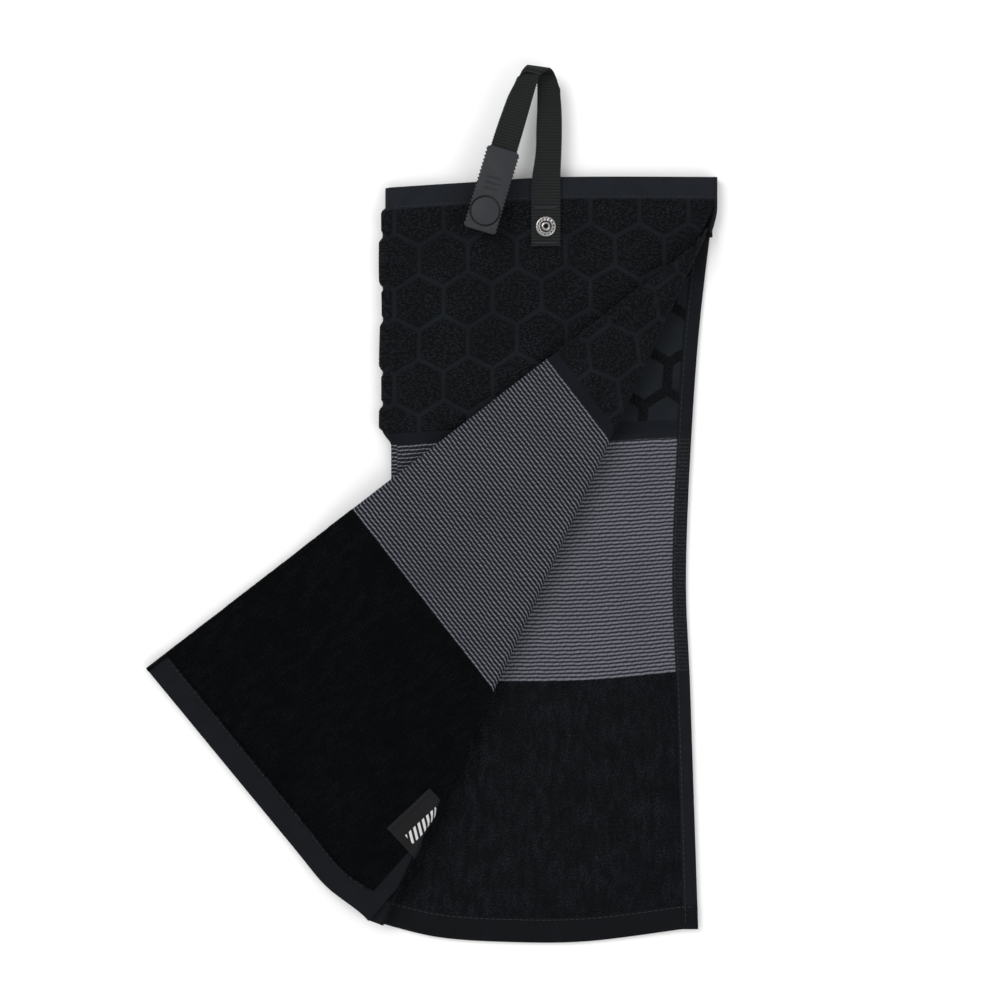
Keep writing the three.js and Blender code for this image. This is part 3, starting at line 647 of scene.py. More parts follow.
def label_look():
    look = Look("label_satin", 0.6, Specular_IOR_Level=0.12)
    cloth = look.cloth()
    u, v = look.split(cloth)
    weft = look.math("SINE", look.times(v, 2 * math.pi / 0.32))
    satin = look.linear(weft, 0.5, 0.5)
    leaning = look.plus(u, look.times(v, 0.55))
    slanted = look.math("FRACT", look.math("DIVIDE", leaning, 3.1))
    bar = look.math("LESS_THAN", slanted, 0.52)
    for axis, low, high in ((u, 4.5, 26.5), (v, 9.5, 15.5)):
        for test, value in (("GREATER_THAN", low), ("LESS_THAN", high)):
            bar = look.times(bar, look.math(test, axis, value))
    dark = look.mix(satin, (0.0046, 0.0048, 0.0056, 1), (0.0085, 0.0088, 0.0098, 1))
    white = look.mix(satin, (0.5, 0.5, 0.5, 1), (0.68, 0.68, 0.68, 1))
    return look.colour(look.mix(bar, dark, white)).bump(
        look.linear(bar, 0.8, satin), 0.09).material


def webbing_look():
    look = Look("webbing", 0.75, Specular_IOR_Level=0.18, Sheen_Weight=0.03)
    cloth = look.cloth()
    u, v = look.split(cloth)
    warp = look.math("ABSOLUTE", look.math("SINE", look.times(u, math.pi / 0.75)))
    wave = look.math("COSINE", look.times(v, 2 * math.pi / RIB_PITCH))
    rib = look.linear(wave, 0.5, 0.5)
    fibre = look.noise(look.vector("MULTIPLY", cloth, (6, 1.2, 1)), 1.0, 3, 0.7)
    lit = look.times(look.times(rib, warp), fibre)
    tone = look.mix(lit, grey(0.0045, 1.05), grey(0.034, 1.05))
    return look.colour(tone).bump(look.plus(look.times(warp, 0.6), fibre), 0.25).material


def rubber_look():
    look = Look("rubber", 0.55, Specular_IOR_Level=0.3)
    place = look.place()
    cloud = look.noise(place, 60.0, 3)
    grain = look.noise(place, 1500.0, 2)
    dust = look.ramp(look.noise(place, 400.0, 4, 0.7), 0.55, 0.8)
    tone = look.mix(cloud, (0.013, 0.0155, 0.0185, 1), (0.019, 0.0215, 0.025, 1))
    look.rough(look.linear(grain, 0.25, 0.45))
    look.colour(look.mix(look.times(dust, 0.3), tone, (0.042, 0.046, 0.051, 1)))
    return look.bump(grain, 0.05).material


def metal_look(name, colour, roughness):
    look = Look(name, roughness, Metallic=1.0)
    place = look.place()
    scratch = look.noise(look.vector("MULTIPLY", place, (1, 6, 1)), 900.0, 3, 0.7)
    cloud = look.noise(place, 120.0, 2)
    look.rough(look.linear(scratch, 0.18, roughness))
    dark = tuple(c * 0.72 for c in colour)
    return look.colour(look.mix(cloud, (*dark, 1), (*colour, 1))).bump(scratch, 0.01).material


def stud_look():
    """Plated ring: bright raised faces, with painted shade in the groove, the bore and the small
    dimples round the flange.
    """
    look = Look("stud_steel", 0.22, Metallic=1.0)
    centre = metres([STUD_X, STUD_Y, 0])
    offset = look.vector("SUBTRACT", look.place(), tuple(centre))
    place = look.vector("MULTIPLY", offset, (1 / MM, 1 / MM, 0))
    radius = look.vector("LENGTH", place, out=1)
    x, y = look.split(place)
    turn_by = look.math("ARCTAN2", y, x)
    marks = look.ramp(look.math("SINE", look.times(turn_by, 14.0)), 0.1, 0.6)
    ragged = look.noise(place, 1.3, 2)
    in_ring = look.near(radius, 4.05, 0.35, 0.6)
    hollow = look.near(radius, 2.75, 0.2, 0.55)
    bore = look.rest(look.ramp(radius, 1.15, 1.45))
    dimples = look.times(in_ring, look.times(marks, look.ramp(ragged, 0.3, 0.5)))
    # painted shade: the groove ring, the bore and the flange dimples are coloured near-black where
    # shade falls
    dark = look.math("MAXIMUM", look.math("MAXIMUM", hollow, bore), dimples)
    look.colour(look.mix(dark, (0.36, 0.355, 0.345, 1), (0.012, 0.012, 0.012, 1)))
    return look.bump(look.rest(dark), 0.08).material


LOOKS = {
    "scrub_face": scrub("scrub_face", False),
    "scrub_reverse": scrub("scrub_reverse", True),
    "stripes_face": stripes("stripes_face", False),
    "stripes_reverse": stripes("stripes_reverse", True),
    "velour": pile("velour", 0.0037, 1.3, 2.6),
    "terry": pile("terry", 0.0112, 1.3, 2.7),
    "hem": hem("hem_cloth", 0.0145),
    "side_hem": hem("side_hem_cloth_look", 0.0085, speckled=True),
    "low_hem": hem("low_hem_cloth", 0.0052),
    "flap_hem": hem("flap_hem_cloth", 0.0080),
    "thread": thread_look(),
    "label": label_look(),
    "webbing": webbing_look(),
    "rubber": rubber_look(),
    "stud": stud_look(),
    "steel": metal_look("polished_steel", (0.72, 0.73, 0.74), 0.12),
}
CLOTH_LOOKS = [LOOKS[name] for name in (
    "scrub_face", "stripes_face", "velour", "scrub_reverse", "stripes_reverse", "terry", "hem")]


def band(v):
    """Index in CLOTH_LOOKS of the face's look at v; its reverse is three further on."""
    return 0 if v < SCRUB_END else 1 if v < STRIPE_END else 2


def face_up(v, top):
    return band(v) + (0 if top else 3)


def reverse_up(v, top):
    return band(v) + (3 if top else 0)


def fold_up(v, top):
    return len(CLOTH_LOOKS) - 1 if v < TOP_HEM else band(v)


def plain(v, top):
    return 0


# ---- cloth pieces ------------------------------------------------------------------------------

def zero(u, v):
    return np.zeros_like(u)


def area_of(grid):
    """Flat area of a trimmed grid, in square metres."""
    _, coords, faces, _ = grid
    total = 0.0
    for face in faces:
        x, y = coords[face].T
        total += abs(np.dot(x, np.roll(y, -1)) - np.dot(y, np.roll(x, -1))) / 2
    return total * MM * MM


def flat_size(grid):
    span = np.ptp(grid[1], axis=0) * MM
    return float(span[0]), float(span[1])


def cloth_part(name, grid, surface, rise, sink, looks, pick, body, node,
               borders=(), flat=None):
    """One layer of cloth as a closed sheet; borders, the hems that go with it, is not used."""
    piece = cloth_piece(name, grid, surface, rise, sink, looks, pick)
    if body:
        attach(piece, body)
    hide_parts(node)
    width, length = flat or flat_size(grid)
    if min(width, length) > NARROWEST_SHEET:
        min(area_of(grid), width * length)
    return piece


def hem_part(node, grid, surface, lift, distance, look="hem", body="towel"):
    """A sewn hem: it stands proud of its cloth by lift and is rounded towards its free edge."""
    return cloth_part(node + "_cloth", grid, surface,
                      lambda u, v: lift + rolled(distance(u, v), 1.5, 0.5),
                      lambda u, v: rolled(distance(u, v), 1.5, 0.4),
                      [LOOKS[look]], plain, body, node)


def from_top(u, v):
    return v


def from_side(u, v):
    return WIDTH - u


def from_foot(u, v):
    return LENGTH - v


def back_height(x, y):
    """The back panel lifts a little where nothing lies on it."""
    free = smooth(4, 40, -past_crease(x, y))
    return BACK + CORE + 0.35 + 0.9 * free * (0.6 + 0.5 * ripple(x, y, 120, 2)).clip(0, 2)


def build_back():
    surface = level_surface(back_height)
    bands = steps(TOP_HEM, SCRUB_END, STRIPE_END, LENGTH - BOTTOM_HEM)
    full = steps(0, WIDTH)
    borders = [hem_part(node, flat_grid(us, vs, back_plan, []), surface, 0.22, distance, look)
               for node, us, vs, distance, look in (
                   ("back_top_hem", full, steps(0, TOP_HEM), from_top, "hem"),
                   ("back_bottom_hem", full, steps(LENGTH - BOTTOM_HEM, LENGTH), from_foot, "low_hem"),
                   ("back_side_hem", steps(WIDTH - SIDE_HEM, WIDTH), bands, from_side, "side_hem"))]
    grid = flat_grid(steps(0, WIDTH - SIDE_HEM), bands, back_plan, [])
    cloth_part("back_cloth", grid, surface,
               lambda u, v: reverse_relief(u, v) + rolled(WIDTH - SIDE_HEM - u, 1.2, 0.3), zero,
               CLOTH_LOOKS, reverse_up, "towel", "back_panel", borders=borders)


def middle_height(x, y):
    free = smooth(10, 60, y + 60 + 0.77 * (HALF - x)) * smooth(12, 30, np.abs(x - STUD_X))
    return MIDDLE + CORE + 0.3 + 0.5 * free * (0.5 + 0.5 * ripple(x, y, 90, 5)).clip(0, 2)


def build_middle():
    surface = level_surface(middle_height)
    across = steps(LEFT_AXIS + HALF, RIGHT_AXIS + HALF)
    grid = flat_grid(across, steps(TOP_HEM, SCRUB_END, STRIPE_END, MIDDLE_END), middle_plan,
                     [BEFORE_CREASE])
    top = flat_grid(across, steps(0, TOP_HEM), middle_plan, [])
    top_hem = hem_part("middle_top_hem", top, surface, 0.2, from_top)
    cloth_part("middle_cloth", grid, surface, face_relief, zero, CLOTH_LOOKS, face_up, "towel",
               "middle_panel", borders=[top_hem, fold_left()])


def build_tucked():
    surface = level_surface(TUCKED + PLY / 2)
    left = in_mm("tucked_panel")[0][0]
    across = steps(left + HALF + SIDE_HEM, RIGHT_AXIS + HALF)
    grid = flat_grid(across, steps(0, TOP_HEM), middle_plan, [])
    top = cloth_part("tucked_top_hem_cloth", grid, surface, lambda u, v: rolled(v, 1.5, 0.4),
                     lambda u, v: rolled(v, 1.5, 0.4), [LOOKS["hem"]], plain, "towel",
                     "tucked_top_hem")
    edge = steps(left + HALF, left + HALF + SIDE_HEM - 0.3)
    grid = flat_grid(edge, steps(0, TUCKED_HEM_END), middle_plan, [BEFORE_CREASE])
    side = cloth_part("tucked_side_hem_cloth", grid, surface, zero, zero, [LOOKS["hem"]], plain,
                      "towel", "tucked_side_hem")
    downs = steps(TOP_HEM, SCRUB_END, STRIPE_END, TUCKED_END)
    grid = flat_grid(across, downs, middle_plan, [BEFORE_CREASE])
    cloth_part("tucked_cloth", grid, surface, zero, zero, CLOTH_LOOKS, reverse_up, "towel",
               "tucked_panel", borders=[top, side, fold_right()])


def flap_height(level):
    def height(x, y):
        settle = sag(x)
        free = smooth(3, 25, past_crease(x, y))
        down = (x - CREASE_TOP[0]) * FLAP_DOWN[0] + (y - CREASE_TOP[1]) * FLAP_DOWN[1]
        over = (x - CREASE_TOP[0]) * FLAP_ACROSS[0] + (y - CREASE_TOP[1]) * FLAP_ACROSS[1]
        bunched = sum(np.exp(-((over - start - spread * down) / 2.2) ** 2)
                      for start, spread in ((3.0, 0.035), (8.5, 0.07)))
        gathered = 1.5 * bunched * smooth(105, 45, down) * smooth(6, 22, down)
        waves = 0.35 * free * ripple(x, y, 110, 8).clip(-0.4, 2)
        return level + CORE + 0.45 + settle + waves + (gathered if level == FLAP_UPPER else 0)
    return height


def build_flap():
    lower = level_surface(flap_height(FLAP_LOWER))
    upper = level_surface(flap_height(FLAP_UPPER))
    edge = PLY / 2
    downs = steps(CREASE_REACH, SCRUB_END, STRIPE_END, LENGTH - BOTTOM_HEM)
    ends = steps(LENGTH - BOTTOM_HEM, LENGTH)
    sides = steps(WIDTH - SIDE_HEM, WIDTH), steps(300, LENGTH - BOTTOM_HEM)
    lower_hem, upper_hem, side_hem = (
        hem_part(node, flat_grid(us, vs, flap_plan, [BEFORE_CREASE]), surface, lift, distance,
                 "flap_hem", "flap")
        for node, us, vs, surface, lift, distance in (
            ("flap_lower_hem", steps(0, WIDTH + 8), ends, lower, 0.1, from_foot),
            ("flap_upper_hem", steps(0, WIDTH), ends, upper, 0.1, from_foot),
            ("flap_side_hem", *sides, upper, 0.15, from_side)))
    grid = flat_grid(steps(edge, WIDTH + 12), downs, flap_plan, [BEFORE_CREASE])
    cloth_part("flap_lower_cloth", grid, lower, zero, face_relief, CLOTH_LOOKS, reverse_up,
               "flap", "flap_lower_layer", borders=[lower_hem])
    grid = flat_grid(steps(edge, WIDTH - SIDE_HEM), downs, flap_plan, [BEFORE_CREASE])
    cloth_part("flap_upper_cloth", grid, upper, face_relief, zero, CLOTH_LOOKS, face_up,
               "flap", "flap_upper_layer",
               borders=[upper_hem, side_hem, fold_flap()])


def build_rolls():
    """The cloth that runs round the diagonal crease."""
    rolls = (("crease_inner", INNER_RADIUS, WIDTH + 14, zero, face_relief, reverse_up, 0.5),
             ("crease_outer", OUTER_RADIUS, WIDTH, face_relief, zero, face_up, 1))
    inner = ()
    for name, radius, reach, rise, sink, pick, relief in rolls:
        cuts = [(CREASE_POINT[:2], CREASE_LEFT),
                (CREASE_POINT[:2] - CREASE_LEFT * math.pi * radius, -CREASE_LEFT)]
        grid = flat_grid(steps(0.5, reach), steps(CREASE_START, SCRUB_END, STRIPE_END, LENGTH),
                         flap_plan, cuts)
        width = math.pi * radius * MM
        piece = cloth_part(name + "_cloth", grid, rolled_surface(radius),
                           lambda u, v, f=rise, s=relief: f(u, v) * s,
                           lambda u, v, f=sink, s=relief: f(u, v) * s,
                           CLOTH_LOOKS, pick, None, name,
                           borders=inner, flat=(width, area_of(grid) / width))
        on_axis(-radius)
        on_axis(radius)
        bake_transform(piece)
        inner = [piece]


def half_roll(name, start, end, radius, centre, height, away, v_range, pick, body, node,
              drawn=lambda v: 0.0, bulge=lambda v: 1.0):
    """A fold: cloth turned half round a line, from the lower layer to the upper one."""
    length = np.linalg.norm(end - start)
    vs = np.linspace(0, 1, int(length / GRID) + 2)
    angles = np.linspace(0, math.pi, FOLD_STEPS + 1)
    verts, coords = [], []
    for share in vs:
        foot = start + (end - start) * share
        v = v_range[0] + (v_range[1] - v_range[0]) * share
        for ring in (1, -1):
            for angle in angles if ring > 0 else angles[::-1]:
                u = radius * angle + 3
                pads = face_relief(np.array(u), np.array(v)) if v > TOP_HEM else 0.1
                swell = 1 + (bulge(v) - 1) * math.sin(angle) ** 2
                thick = CORE + (pads * swell if ring > 0 else 0)
                out = max(0.05, radius + ring * thick) if ring < 0 else radius + thick
                across = foot + away * (out * math.sin(angle) - drawn(v))
                verts.append([*across, height(*foot) + centre - out * math.cos(angle)])
                coords.append((u, v, 0))
    around = 2 * len(angles)
    middles = v_range[0] + (v_range[1] - v_range[0]) * (vs[:-1] + vs[1:]) / 2
    choice = [pick(v, True) for v in middles for _ in range(around)]
    choice += [choice[0], choice[-1]]
    piece = new_object(name, metres(verts), tube_faces(len(vs), around), CLOTH_LOOKS, choice)
    outward(piece)
    mark_cloth(piece, coords)
    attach(piece, body)
    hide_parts(node)
    return piece


def fold_left():
    low, high = in_mm("left_fold")
    return half_roll(
        "left_fold_cloth", np.array([LEFT_AXIS, high[1]]), np.array([LEFT_AXIS, low[1]]),
        (MIDDLE + PLY) / 2 - CORE - 0.35, (MIDDLE + PLY) / 2, lambda x, y: 0.0,
        np.array([-1.0, 0.0]), (0, -low[1]), fold_up, "towel", "left_fold",
        drawn=lambda v: pinch(v) + 1.6 * smooth(TOP_HEM + 1, TOP_HEM - 1, v),
        bulge=lambda v: (3.3 + 0.7 * float(ripple(0.0, v, 31, 4))) if v < PAD_END else 1.0)


def fold_right():
    low, high = in_mm("right_fold")
    return half_roll(
        "right_fold_cloth", np.array([RIGHT_AXIS, high[1]]), np.array([RIGHT_AXIS, low[1] - 8]),
        PAIR_RADIUS, TUCKED + PLY + 0.15, lambda x, y: 0.0, np.array([1.0, 0.0]),
        (0, 8 - low[1]), fold_up, "towel", "right_fold",
        drawn=lambda v: 4.0 * smooth(14, 34, v), bulge=lambda v: 1.5)


def fold_flap():
    skipped = 14.0
    start = CREASE_TOP + FLAP_DOWN * skipped + FLAP_ACROSS * PLY
    end = CREASE_TOP + FLAP_DOWN * (LENGTH - CREASE_START) + FLAP_ACROSS * PLY
    return half_roll(
        "flap_edge_cloth", start, end, PAIR_RADIUS, FLAP_LOWER + PLY + 0.15,
        lambda x, y: float(sag(np.array(x))), -FLAP_ACROSS, (CREASE_START + skipped, LENGTH),
        face_up, "flap", "flap_edge_fold")


# ---- stitching ---------------------------------------------------------------------------------

def capsules(name, runs, radius, body, node):
    """Short rounded threads, each from one 3-D point to another, as one piece."""
    rings = ((0.0, 0.25), (0.12, 0.8), (0.5, 1.0), (0.88, 0.8), (1.0, 0.25))
    sides = 6
    verts, faces = [], []
    for start, end in runs:
        start, end = np.array(start, float), np.array(end, float)
        way = end - start
        across = np.cross(way, (0, 0, 1))
        across /= np.linalg.norm(across)
        up = np.cross(across, way)
        up /= np.linalg.norm(up)
        base = len(verts)
        for share, fullness in rings:
            arch = 0.35 * radius * math.sin(math.pi * share)
            for k in range(sides):
                angle = 2 * math.pi * k / sides
                verts.append(start + way * share + up * arch + radius * fullness
                             * (across * math.cos(angle) + up * 0.7 * math.sin(angle)))
        faces += [[base + index for index in face] for face in tube_faces(len(rings), sides)]
    piece = new_object(name, metres(verts), faces, [LOOKS["thread"]])
    outward(piece)
    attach(piece, body)
    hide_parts(node)


def seam(name, path, pitch, body, node, radius=0.24, fill=0.78):
    """Stitches along a polyline of 3-D points."""
    path = np.array(path, float)
    lengths = np.concatenate([[0], np.cumsum(np.linalg.norm(np.diff(path, axis=0), axis=1))])
    count = int(lengths[-1] / pitch)
    place = lambda s: np.array([np.interp(s, lengths, path[:, axis]) for axis in range(3)])
    runs = [(place(i * pitch), place((i + fill) * pitch)) for i in range(count)]
    capsules(name, runs, radius, body, node)


def on_plan(plan, us, vs, height, lift):
    x, y = plan(np.array(us, float), np.array(vs, float))
    return np.stack([x, y, height(x, y) + lift], 1)


def build_stitches():
    inset = 1.4
    top = CORE + 0.3
    count = 60
    across, down = np.linspace(2, WIDTH - 2, count), np.linspace(2, LENGTH - 2, count)
    full = np.ones(count)
    seam("bottom_hem_stitches", on_plan(back_plan, across, full * (LENGTH - BOTTOM_HEM + inset),
                                        back_height, top), 3.0, "towel", "bottom_hem_thread")
    seam("side_hem_stitches", on_plan(back_plan, full * (WIDTH - SIDE_HEM + inset), down,
                                      back_height, top), 3.0, "towel", "side_hem_thread")
    seam("top_hem_stitches", on_plan(middle_plan, np.linspace(6, WIDTH - 6, count),
                                     full * (TOP_HEM - inset), middle_height, top),
         3.0, "towel", "top_hem_thread")
    seam("flap_hem_stitches", on_plan(flap_plan, np.linspace(4, WIDTH - 14, count),
                                      full * (LENGTH - BOTTOM_HEM + inset),
                                      flap_height(FLAP_UPPER), top), 3.0, "flap",
         "flap_hem_thread")
    for name in ("lower_bar_tack", "upper_bar_tack"):
        low, high = in_mm(name)
        z = (low[2] + high[2]) / 2
        pitch = 0.42
        count = int((high[0] - low[0]) / pitch)
        runs = [((low[0] + pitch * i, low[1], z), (low[0] + pitch * (i + 0.45), high[1], z))
                for i in range(count)]
        capsules(name + "_stitches", runs, 0.22, "towel", name)


# ---- pile standing out at the edges --------------------------------------------------------------

def fringe(name, paths, body, look, seed):
    """Fine fibres along polylines; each path is (points, outward, count, shortest, longest)."""
    rng = np.random.default_rng(seed)
    verts, faces = [], []
    for points, away, count, shortest, longest in paths:
        points = np.array(points, float)
        away = np.array([*away, 0.0]) / np.linalg.norm(away)
        side = np.array([-away[1], away[0], 0])
        for _ in range(count):
            place = rng.uniform(0, len(points) - 1.001)
            index = int(place)
            root = points[index] + (points[index + 1] - points[index]) * (place - index)
            root = root - away * rng.uniform(0.2, 1.0) + np.array([0, 0, rng.uniform(-0.5, 0.3)])
            way = away + side * rng.normal(0, 0.6) + np.array([0, 0, rng.uniform(-0.2, 0.45)])
            tip = root + way * rng.uniform(shortest, longest)
            base = len(verts)
            thick = rng.uniform(0.07, 0.14)
            verts += [root + side * thick, root - side * thick, root + np.array([0, 0, thick]), tip]
            faces += [[base, base + 1, base + 2], [base, base + 3, base + 1],
                      [base + 1, base + 3, base + 2], [base + 2, base + 3, base]]
    piece = new_object(name, metres(verts), faces, [look], sharp=180)
    mark_cloth(piece, verts)
    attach(piece, body)


def build_fringes():
    count = 80
    upper = flap_height(FLAP_UPPER)
    seam_v = LENGTH - BOTTOM_HEM - 0.3
    at_hem = on_plan(flap_plan, np.linspace(2, WIDTH - SIDE_HEM - 3, count), np.full(count, seam_v),
                     upper, CORE + 0.3)
    edge_down = np.linspace(STRIPE_END + 2, LENGTH - BOTTOM_HEM, count)
    at_fold = on_plan(flap_plan, np.full(count, 0.6), edge_down, upper, CORE - 1.2)
    fringe("flap_pile", [(at_hem, FLAP_DOWN, 2400, 0.8, 3.0),
                         (at_fold, -FLAP_ACROSS, 900, 0.5, 1.3)], "flap", LOOKS["velour"], 3)
    ys = np.linspace(-TOP_HEM - 3, -PAD_END, count)
    at_left = [(LEFT_EDGE + 0.3, y, (MIDDLE + PLY) / 2 + 0.8) for y in ys]
    fringe("left_pile", [(at_left, (-1.0, 0.0), 900, 0.4, 1.1)], "towel", LOOKS["scrub_face"], 4)


# ---- label -------------------------------------------------------------------------------------

def build_label():
    length, width, ply = 31.0, 24.0, 0.22
    way = -heading(LABEL_HEADING)
    across = np.array([-way[1], way[0]])
    us, vs = np.linspace(0, length, 42), np.linspace(0, width, 34)
    u, v = np.meshgrid(us, vs)
    u, v = u.ravel(), v.ravel()
    plan = LABEL_FOOT + np.outer(u, way) - np.outer(v, across)
    x, y = plan.T
    past = past_crease(x, y)
    radius = OUTER_RADIUS + CORE + 0.55
    flat, flat_normal = level_surface(flap_height(FLAP_UPPER))(x, y)
    flat = flat + flat_normal * (CORE + 0.7)
    bent, bent_normal = rolled_surface(radius)(x, y)
    bent[:, 2] += flat[:, 2].mean() - CREASE_LEVEL - radius
    over = (past < 0)[:, None]
    centre = np.where(over, bent, flat)
    normal = np.where(over, bent_normal, flat_normal)
    curl = 0.5 * smooth(4, 0, v) + 0.25 * np.sin(u * 0.35) * smooth(0, 10, v)
    centre = centre + normal * curl[:, None]
    columns = len(us)
    count = len(u)
    ridge = 0.35 * np.exp(-((v - 2.2) / 0.7) ** 2)
    verts = np.concatenate([centre + normal * (ply + ridge)[:, None], centre - normal * ply])
    faces = []
    for i in range(len(vs) - 1):
        for j in range(columns - 1):
            a = i * columns + j
            quad = [a, a + columns, a + columns + 1, a + 1]
            faces += [quad, [k + count for k in reversed(quad)]]
    rim = ([(j, j + 1) for j in range(columns - 1)]
           + [(i * columns + columns - 1, (i + 1) * columns + columns - 1) for i in range(len(vs) - 1)]
           + [(count - 1 - j, count - 2 - j) for j in range(columns - 1)]
           + [((i + 1) * columns, i * columns) for i in reversed(range(len(vs) - 1))])
    faces += [[a, b, b + count, a + count] for a, b in rim]
    piece = new_object("label_cloth", metres(verts), faces, [LOOKS["label"]])
    outward(piece)
    mark_cloth(piece, np.tile(np.stack([u, v, 0 * u], 1), (2, 1)))
    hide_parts("label")
    on_axis(-4)
    on_axis(4)
    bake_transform(piece)
    inset = 1.1
    edge = np.arange(1, length - 1, 1.0)
    points = [LABEL_FOOT + way * s - across * inset for s in edge]
    z = float(flat[:, 2].max()) + 0.75
    seam("label_stitches", [(*p, z) for p in points], 2.2, "flap", "label_thread", radius=0.16)


# ---- strap, pull tab and ring snap ---------------------------------------------------------------

def ribbon(name, stations):
    """Ribbed webbing; each station is (centre, across, normal, distance along, width share)."""
    half_width, half_ply = WEB_WIDTH / 2, WEB_PLY / 2 - 0.12
    section = [(share * half_width, 1) for share in np.linspace(-1, 1, 13)]
    section += [(side, -1) for side, _ in reversed(section)]
    verts, coords = [], []
    for centre, across, normal, s, narrow in stations:
        rib = 0.5 + 0.5 * math.cos(2 * math.pi * s / RIB_PITCH)
        for side, face in section:
            fullness = 1 - 0.75 * smooth(0.86, 1.0, abs(side) / half_width)
            thick = half_ply * fullness + 0.14 * rib * fullness
            width = side * narrow * (1 + 0.055 * rib)
            verts.append(crowned(centre + across * width + normal * face * thick))
            coords.append((side, s, 0))
    faces = tube_faces(len(stations), len(section))
    piece = new_object(name, metres(verts), faces, [LOOKS["webbing"]])
    outward(piece)
    mark_cloth(piece, coords)
    return piece


def crowned(place):
    """The loop's top bows, so that its outline is rounded."""
    x, y, z = place
    off = min(max(abs(x + 6.0) - 5.5, 0), 5.5)
    drop = (0.30 if x > -6 else 0.16) * off ** 2 * smooth(36 if x > -6 else 43, 64, y)
    return np.array([x, y - drop - 2.2 * smooth(18, 62, y), z])


def build_strap():
    low, high = in_mm("strap_sewn_leg")
    web_x, foot, bend = (low[0] + high[0]) / 2, low[1], high[1] + 0.3
    level = low[2] + WEB_PLY / 2
    axis_level = level + LOOP_RADIUS
    twist = math.radians(STRAP_ANGLE)
    flat, up = np.array([1.0, 0, 0]), np.array([0, 0, 1.0])
    fine = RIB_PITCH / 6
    lift, shrink, lean = 0.35, 0.2, 1.5

    def sewn_station(y):
        slack = 0.6 * smooth(-6, 20, y) + 0.4 * smooth(25, 55, y)
        bow = 0.8 * math.sin(math.pi * min(max((y - 4) / 50, 0), 1))
        centre = np.array([web_x + lean * slack + bow, y, level + lift * float(smooth(4, 30, y))])
        return centre, flat, up, y, 1 - shrink * slack

    sewn = ribbon("strap_sewn_cloth", [sewn_station(y) for y in np.arange(foot, bend + 0.4, fine)])
    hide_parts("strap_sewn_leg")
    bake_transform(sewn)

    arc, arc_length = [], math.pi * LOOP_RADIUS
    for share in np.linspace(-0.03, 1.03, 46):
        inside = min(max(share, 0), 1)
        angle, turn_by = math.pi * share, twist * inside
        across = np.array([math.cos(turn_by), -math.sin(turn_by), 0])
        out = np.array([math.sin(turn_by), math.cos(turn_by), 0]) * math.sin(angle)
        out[2] = -math.cos(angle)
        centre = np.array([web_x + lean * (1 - inside) - LOOP_SHIFT * inside, bend, axis_level])
        arc.append((centre + out * LOOP_RADIUS, across, out, bend + arc_length * share, 1 - shrink))
    loop = ribbon("strap_loop_cloth", arc)
    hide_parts("strap_bend")
    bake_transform(loop)

    across = np.array([math.cos(twist), -math.sin(twist), 0])
    down = np.array([-math.sin(twist), -math.cos(twist), 0])
    start = np.array([web_x - LOOP_SHIFT, bend, axis_level + LOOP_RADIUS])
    tail = [(start + down * s, across, up, bend + arc_length + s, 1 - shrink + 0.12 * smooth(0, 40, s))
            for s in np.arange(-0.4, FREE_LEG, fine)]
    free = ribbon("strap_free_cloth", tail)
    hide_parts("strap_free_leg")
    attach(free, "strap_end")
    for piece, reach, others in ((sewn, bend - foot, [loop]), (free, FREE_LEG, [])):
        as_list(others)


def smoothed_copy(name, node, body, look, width_mm, angle=35):
    """A copy of a CAD solid with its edges rounded off."""
    mesh = bpy.data.objects[node].data.copy()
    piece = bpy.data.objects.new(name, mesh)
    piece.matrix_world = bpy.data.objects[node].matrix_world.copy()
    bpy.context.scene.collection.objects.link(piece)
    bm = bmesh.new()
    bm.from_mesh(mesh)
    bmesh.ops.remove_doubles(bm, verts=bm.verts, dist=1e-6)
    bmesh.ops.dissolve_limit(bm, angle_limit=math.radians(1), verts=bm.verts, edges=bm.edges)
    sharp = [e for e in bm.edges if len(e.link_faces) == 2
             and e.calc_face_angle(0) > math.radians(angle)]
    bmesh.ops.bevel(bm, geom=sharp, offset=width_mm * MM, segments=2, affect="EDGES",
                    clamp_overlap=True, profile=0.6)
    bm.to_mesh(mesh)
    bm.free()
    mesh.materials.clear()
    mesh.materials.append(look)
    mesh.polygons.foreach_set("use_smooth", np.ones(len(mesh.polygons), bool))
    mesh.set_sharp_from_angle(angle=math.radians(40))
    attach(piece, body)
    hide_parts(node)
    return piece


def turned(name, profile, x, y, body, look, node, dimples=0):
    """A smooth turned part; profile is (radius, height) pairs; dimples mark its flange."""
    around = 96
    verts = []
    for radius, z in profile:
        for k in range(around):
            angle = 2 * math.pi * k / around
            dent = 0.0
            if dimples and 3.2 < radius < 4.8:
                dent = 0.16 * max(0, math.cos(angle * dimples)) ** 2
            verts.append((x + radius * math.cos(angle), y + radius * math.sin(angle), z - dent))
    faces = tube_faces(len(profile), around, closed=True)
    piece = new_object(name, metres(verts), faces, [look], sharp=50)
    outward(piece)
    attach(piece, body)
    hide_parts(node)
    return piece


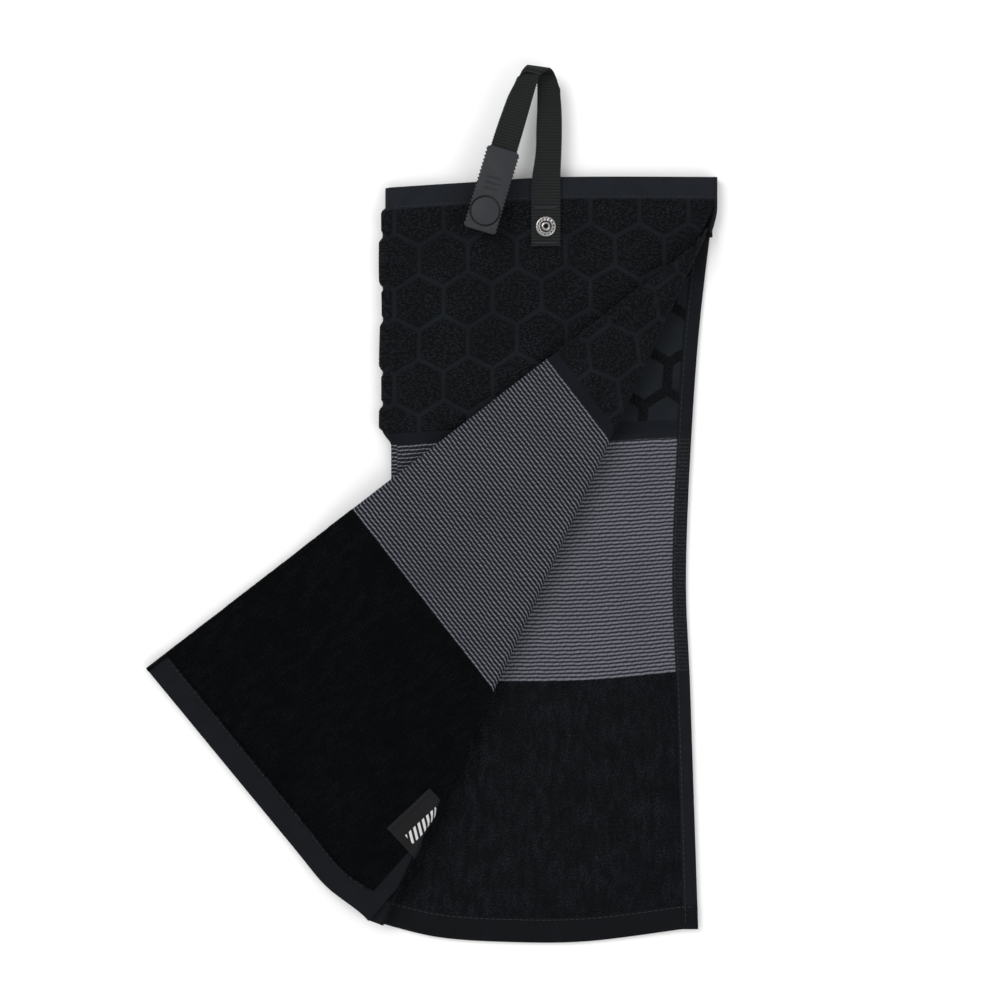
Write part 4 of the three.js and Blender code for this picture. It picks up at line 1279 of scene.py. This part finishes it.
def build_hardware():
    low, high = in_mm("snap_stud")
    bottom, top = low[2], high[2]
    flange, post, bore, barrel = 5.35, 2.35, 1.1, 1.7
    turned("stud_ring", [
        (barrel, bottom), (flange - 0.25, bottom), (flange, bottom + 0.12),
        (flange - 0.05, bottom + 0.3), (flange - 0.4, bottom + 0.52), (4.7, bottom + 0.6),
        (4.3, bottom + 0.56), (3.7, bottom + 0.56),
        (3.3, bottom + 0.62), (2.95, bottom + 0.6), (post - 0.2, bottom + 0.7),
        (post - 0.35, bottom + 1.0), (post - 0.3, bottom + 1.3), (post - 0.02, top - 0.75),
        (post, top - 0.55), (post - 0.08, top - 0.3), (post - 0.35, top - 0.08), (post - 0.7, top),
        (bore + 0.2, top), (bore, top - 0.15), (bore, bottom + 1.0), (barrel, bottom + 0.9)],
        STUD_X, STUD_Y, "towel", LOOKS["stud"], "snap_stud", dimples=14)
    smoothed_copy("pull_tab", "tab_body", "strap_end", LOOKS["rubber"], 0.22)
    smoothed_copy("pull_tab_button", "tab_cap", "strap_end", LOOKS["rubber"], 0.16)
    for node, look in (("snap_socket", "steel"), ("socket_spring", "steel"), ("snap_eyelet", "stud")):
        obj = bpy.data.objects[node]
        obj.data.materials.clear()
        obj.data.materials.append(LOOKS[look])


# ---- stage, camera, lights ---------------------------------------------------------------------

def build_stage():
    half, below = 3, -0.0006
    corners = [(-half, -half, below), (half, -half, below), (half, half, below), (-half, half, below)]
    floor = new_object("floor", corners, [[0, 1, 2, 3]], [])
    look = Look("pale_floor", 0.9)
    look.colour(look.mix(look.noise(look.place(), 2.0), (0.93, 0.93, 0.93, 1), (0.95, 0.95, 0.95, 1)))
    floor.data.materials.append(look.material)

    scene = bpy.context.scene
    scene.view_settings.view_transform = "Standard"
    world = bpy.data.worlds.new("studio")
    world.use_nodes = True
    world.node_tree.nodes["Background"].inputs[0].default_value = (1, 1, 1, 1)
    world.node_tree.nodes["Background"].inputs[1].default_value = 0.78
    scene.world = world

    def lamp(name, place, size, power):
        data = bpy.data.lights.new(name, "AREA")
        data.size = size
        data.energy = power
        obj = bpy.data.objects.new(name, data)
        obj.location = place
        aim = Vector((0, 0, 0)) - Vector(place)
        obj.rotation_euler = aim.to_track_quat("-Z", "Y").to_euler()
        scene.collection.objects.link(obj)

    lamp("key", (-1.1, 1.0, 1.6), 1.2, 20)
    lamp("fill", (1.2, -0.8, 1.4), 1.2, 9)

    camera_data = bpy.data.cameras.new("camera")
    camera_data.lens = 85
    distance = VIEW_WIDTH * camera_data.lens / camera_data.sensor_width
    camera = bpy.data.objects.new("camera", camera_data)
    camera.location = (*metres(VIEW_CENTRE)[:2], distance)
    camera.rotation_euler = (0, 0, 0)
    scene.collection.objects.link(camera)
    scene.camera = camera


build_back()
build_middle()
build_tucked()
build_flap()
build_rolls()
build_stitches()
build_fringes()
build_label()
build_strap()
build_hardware()
build_stage()
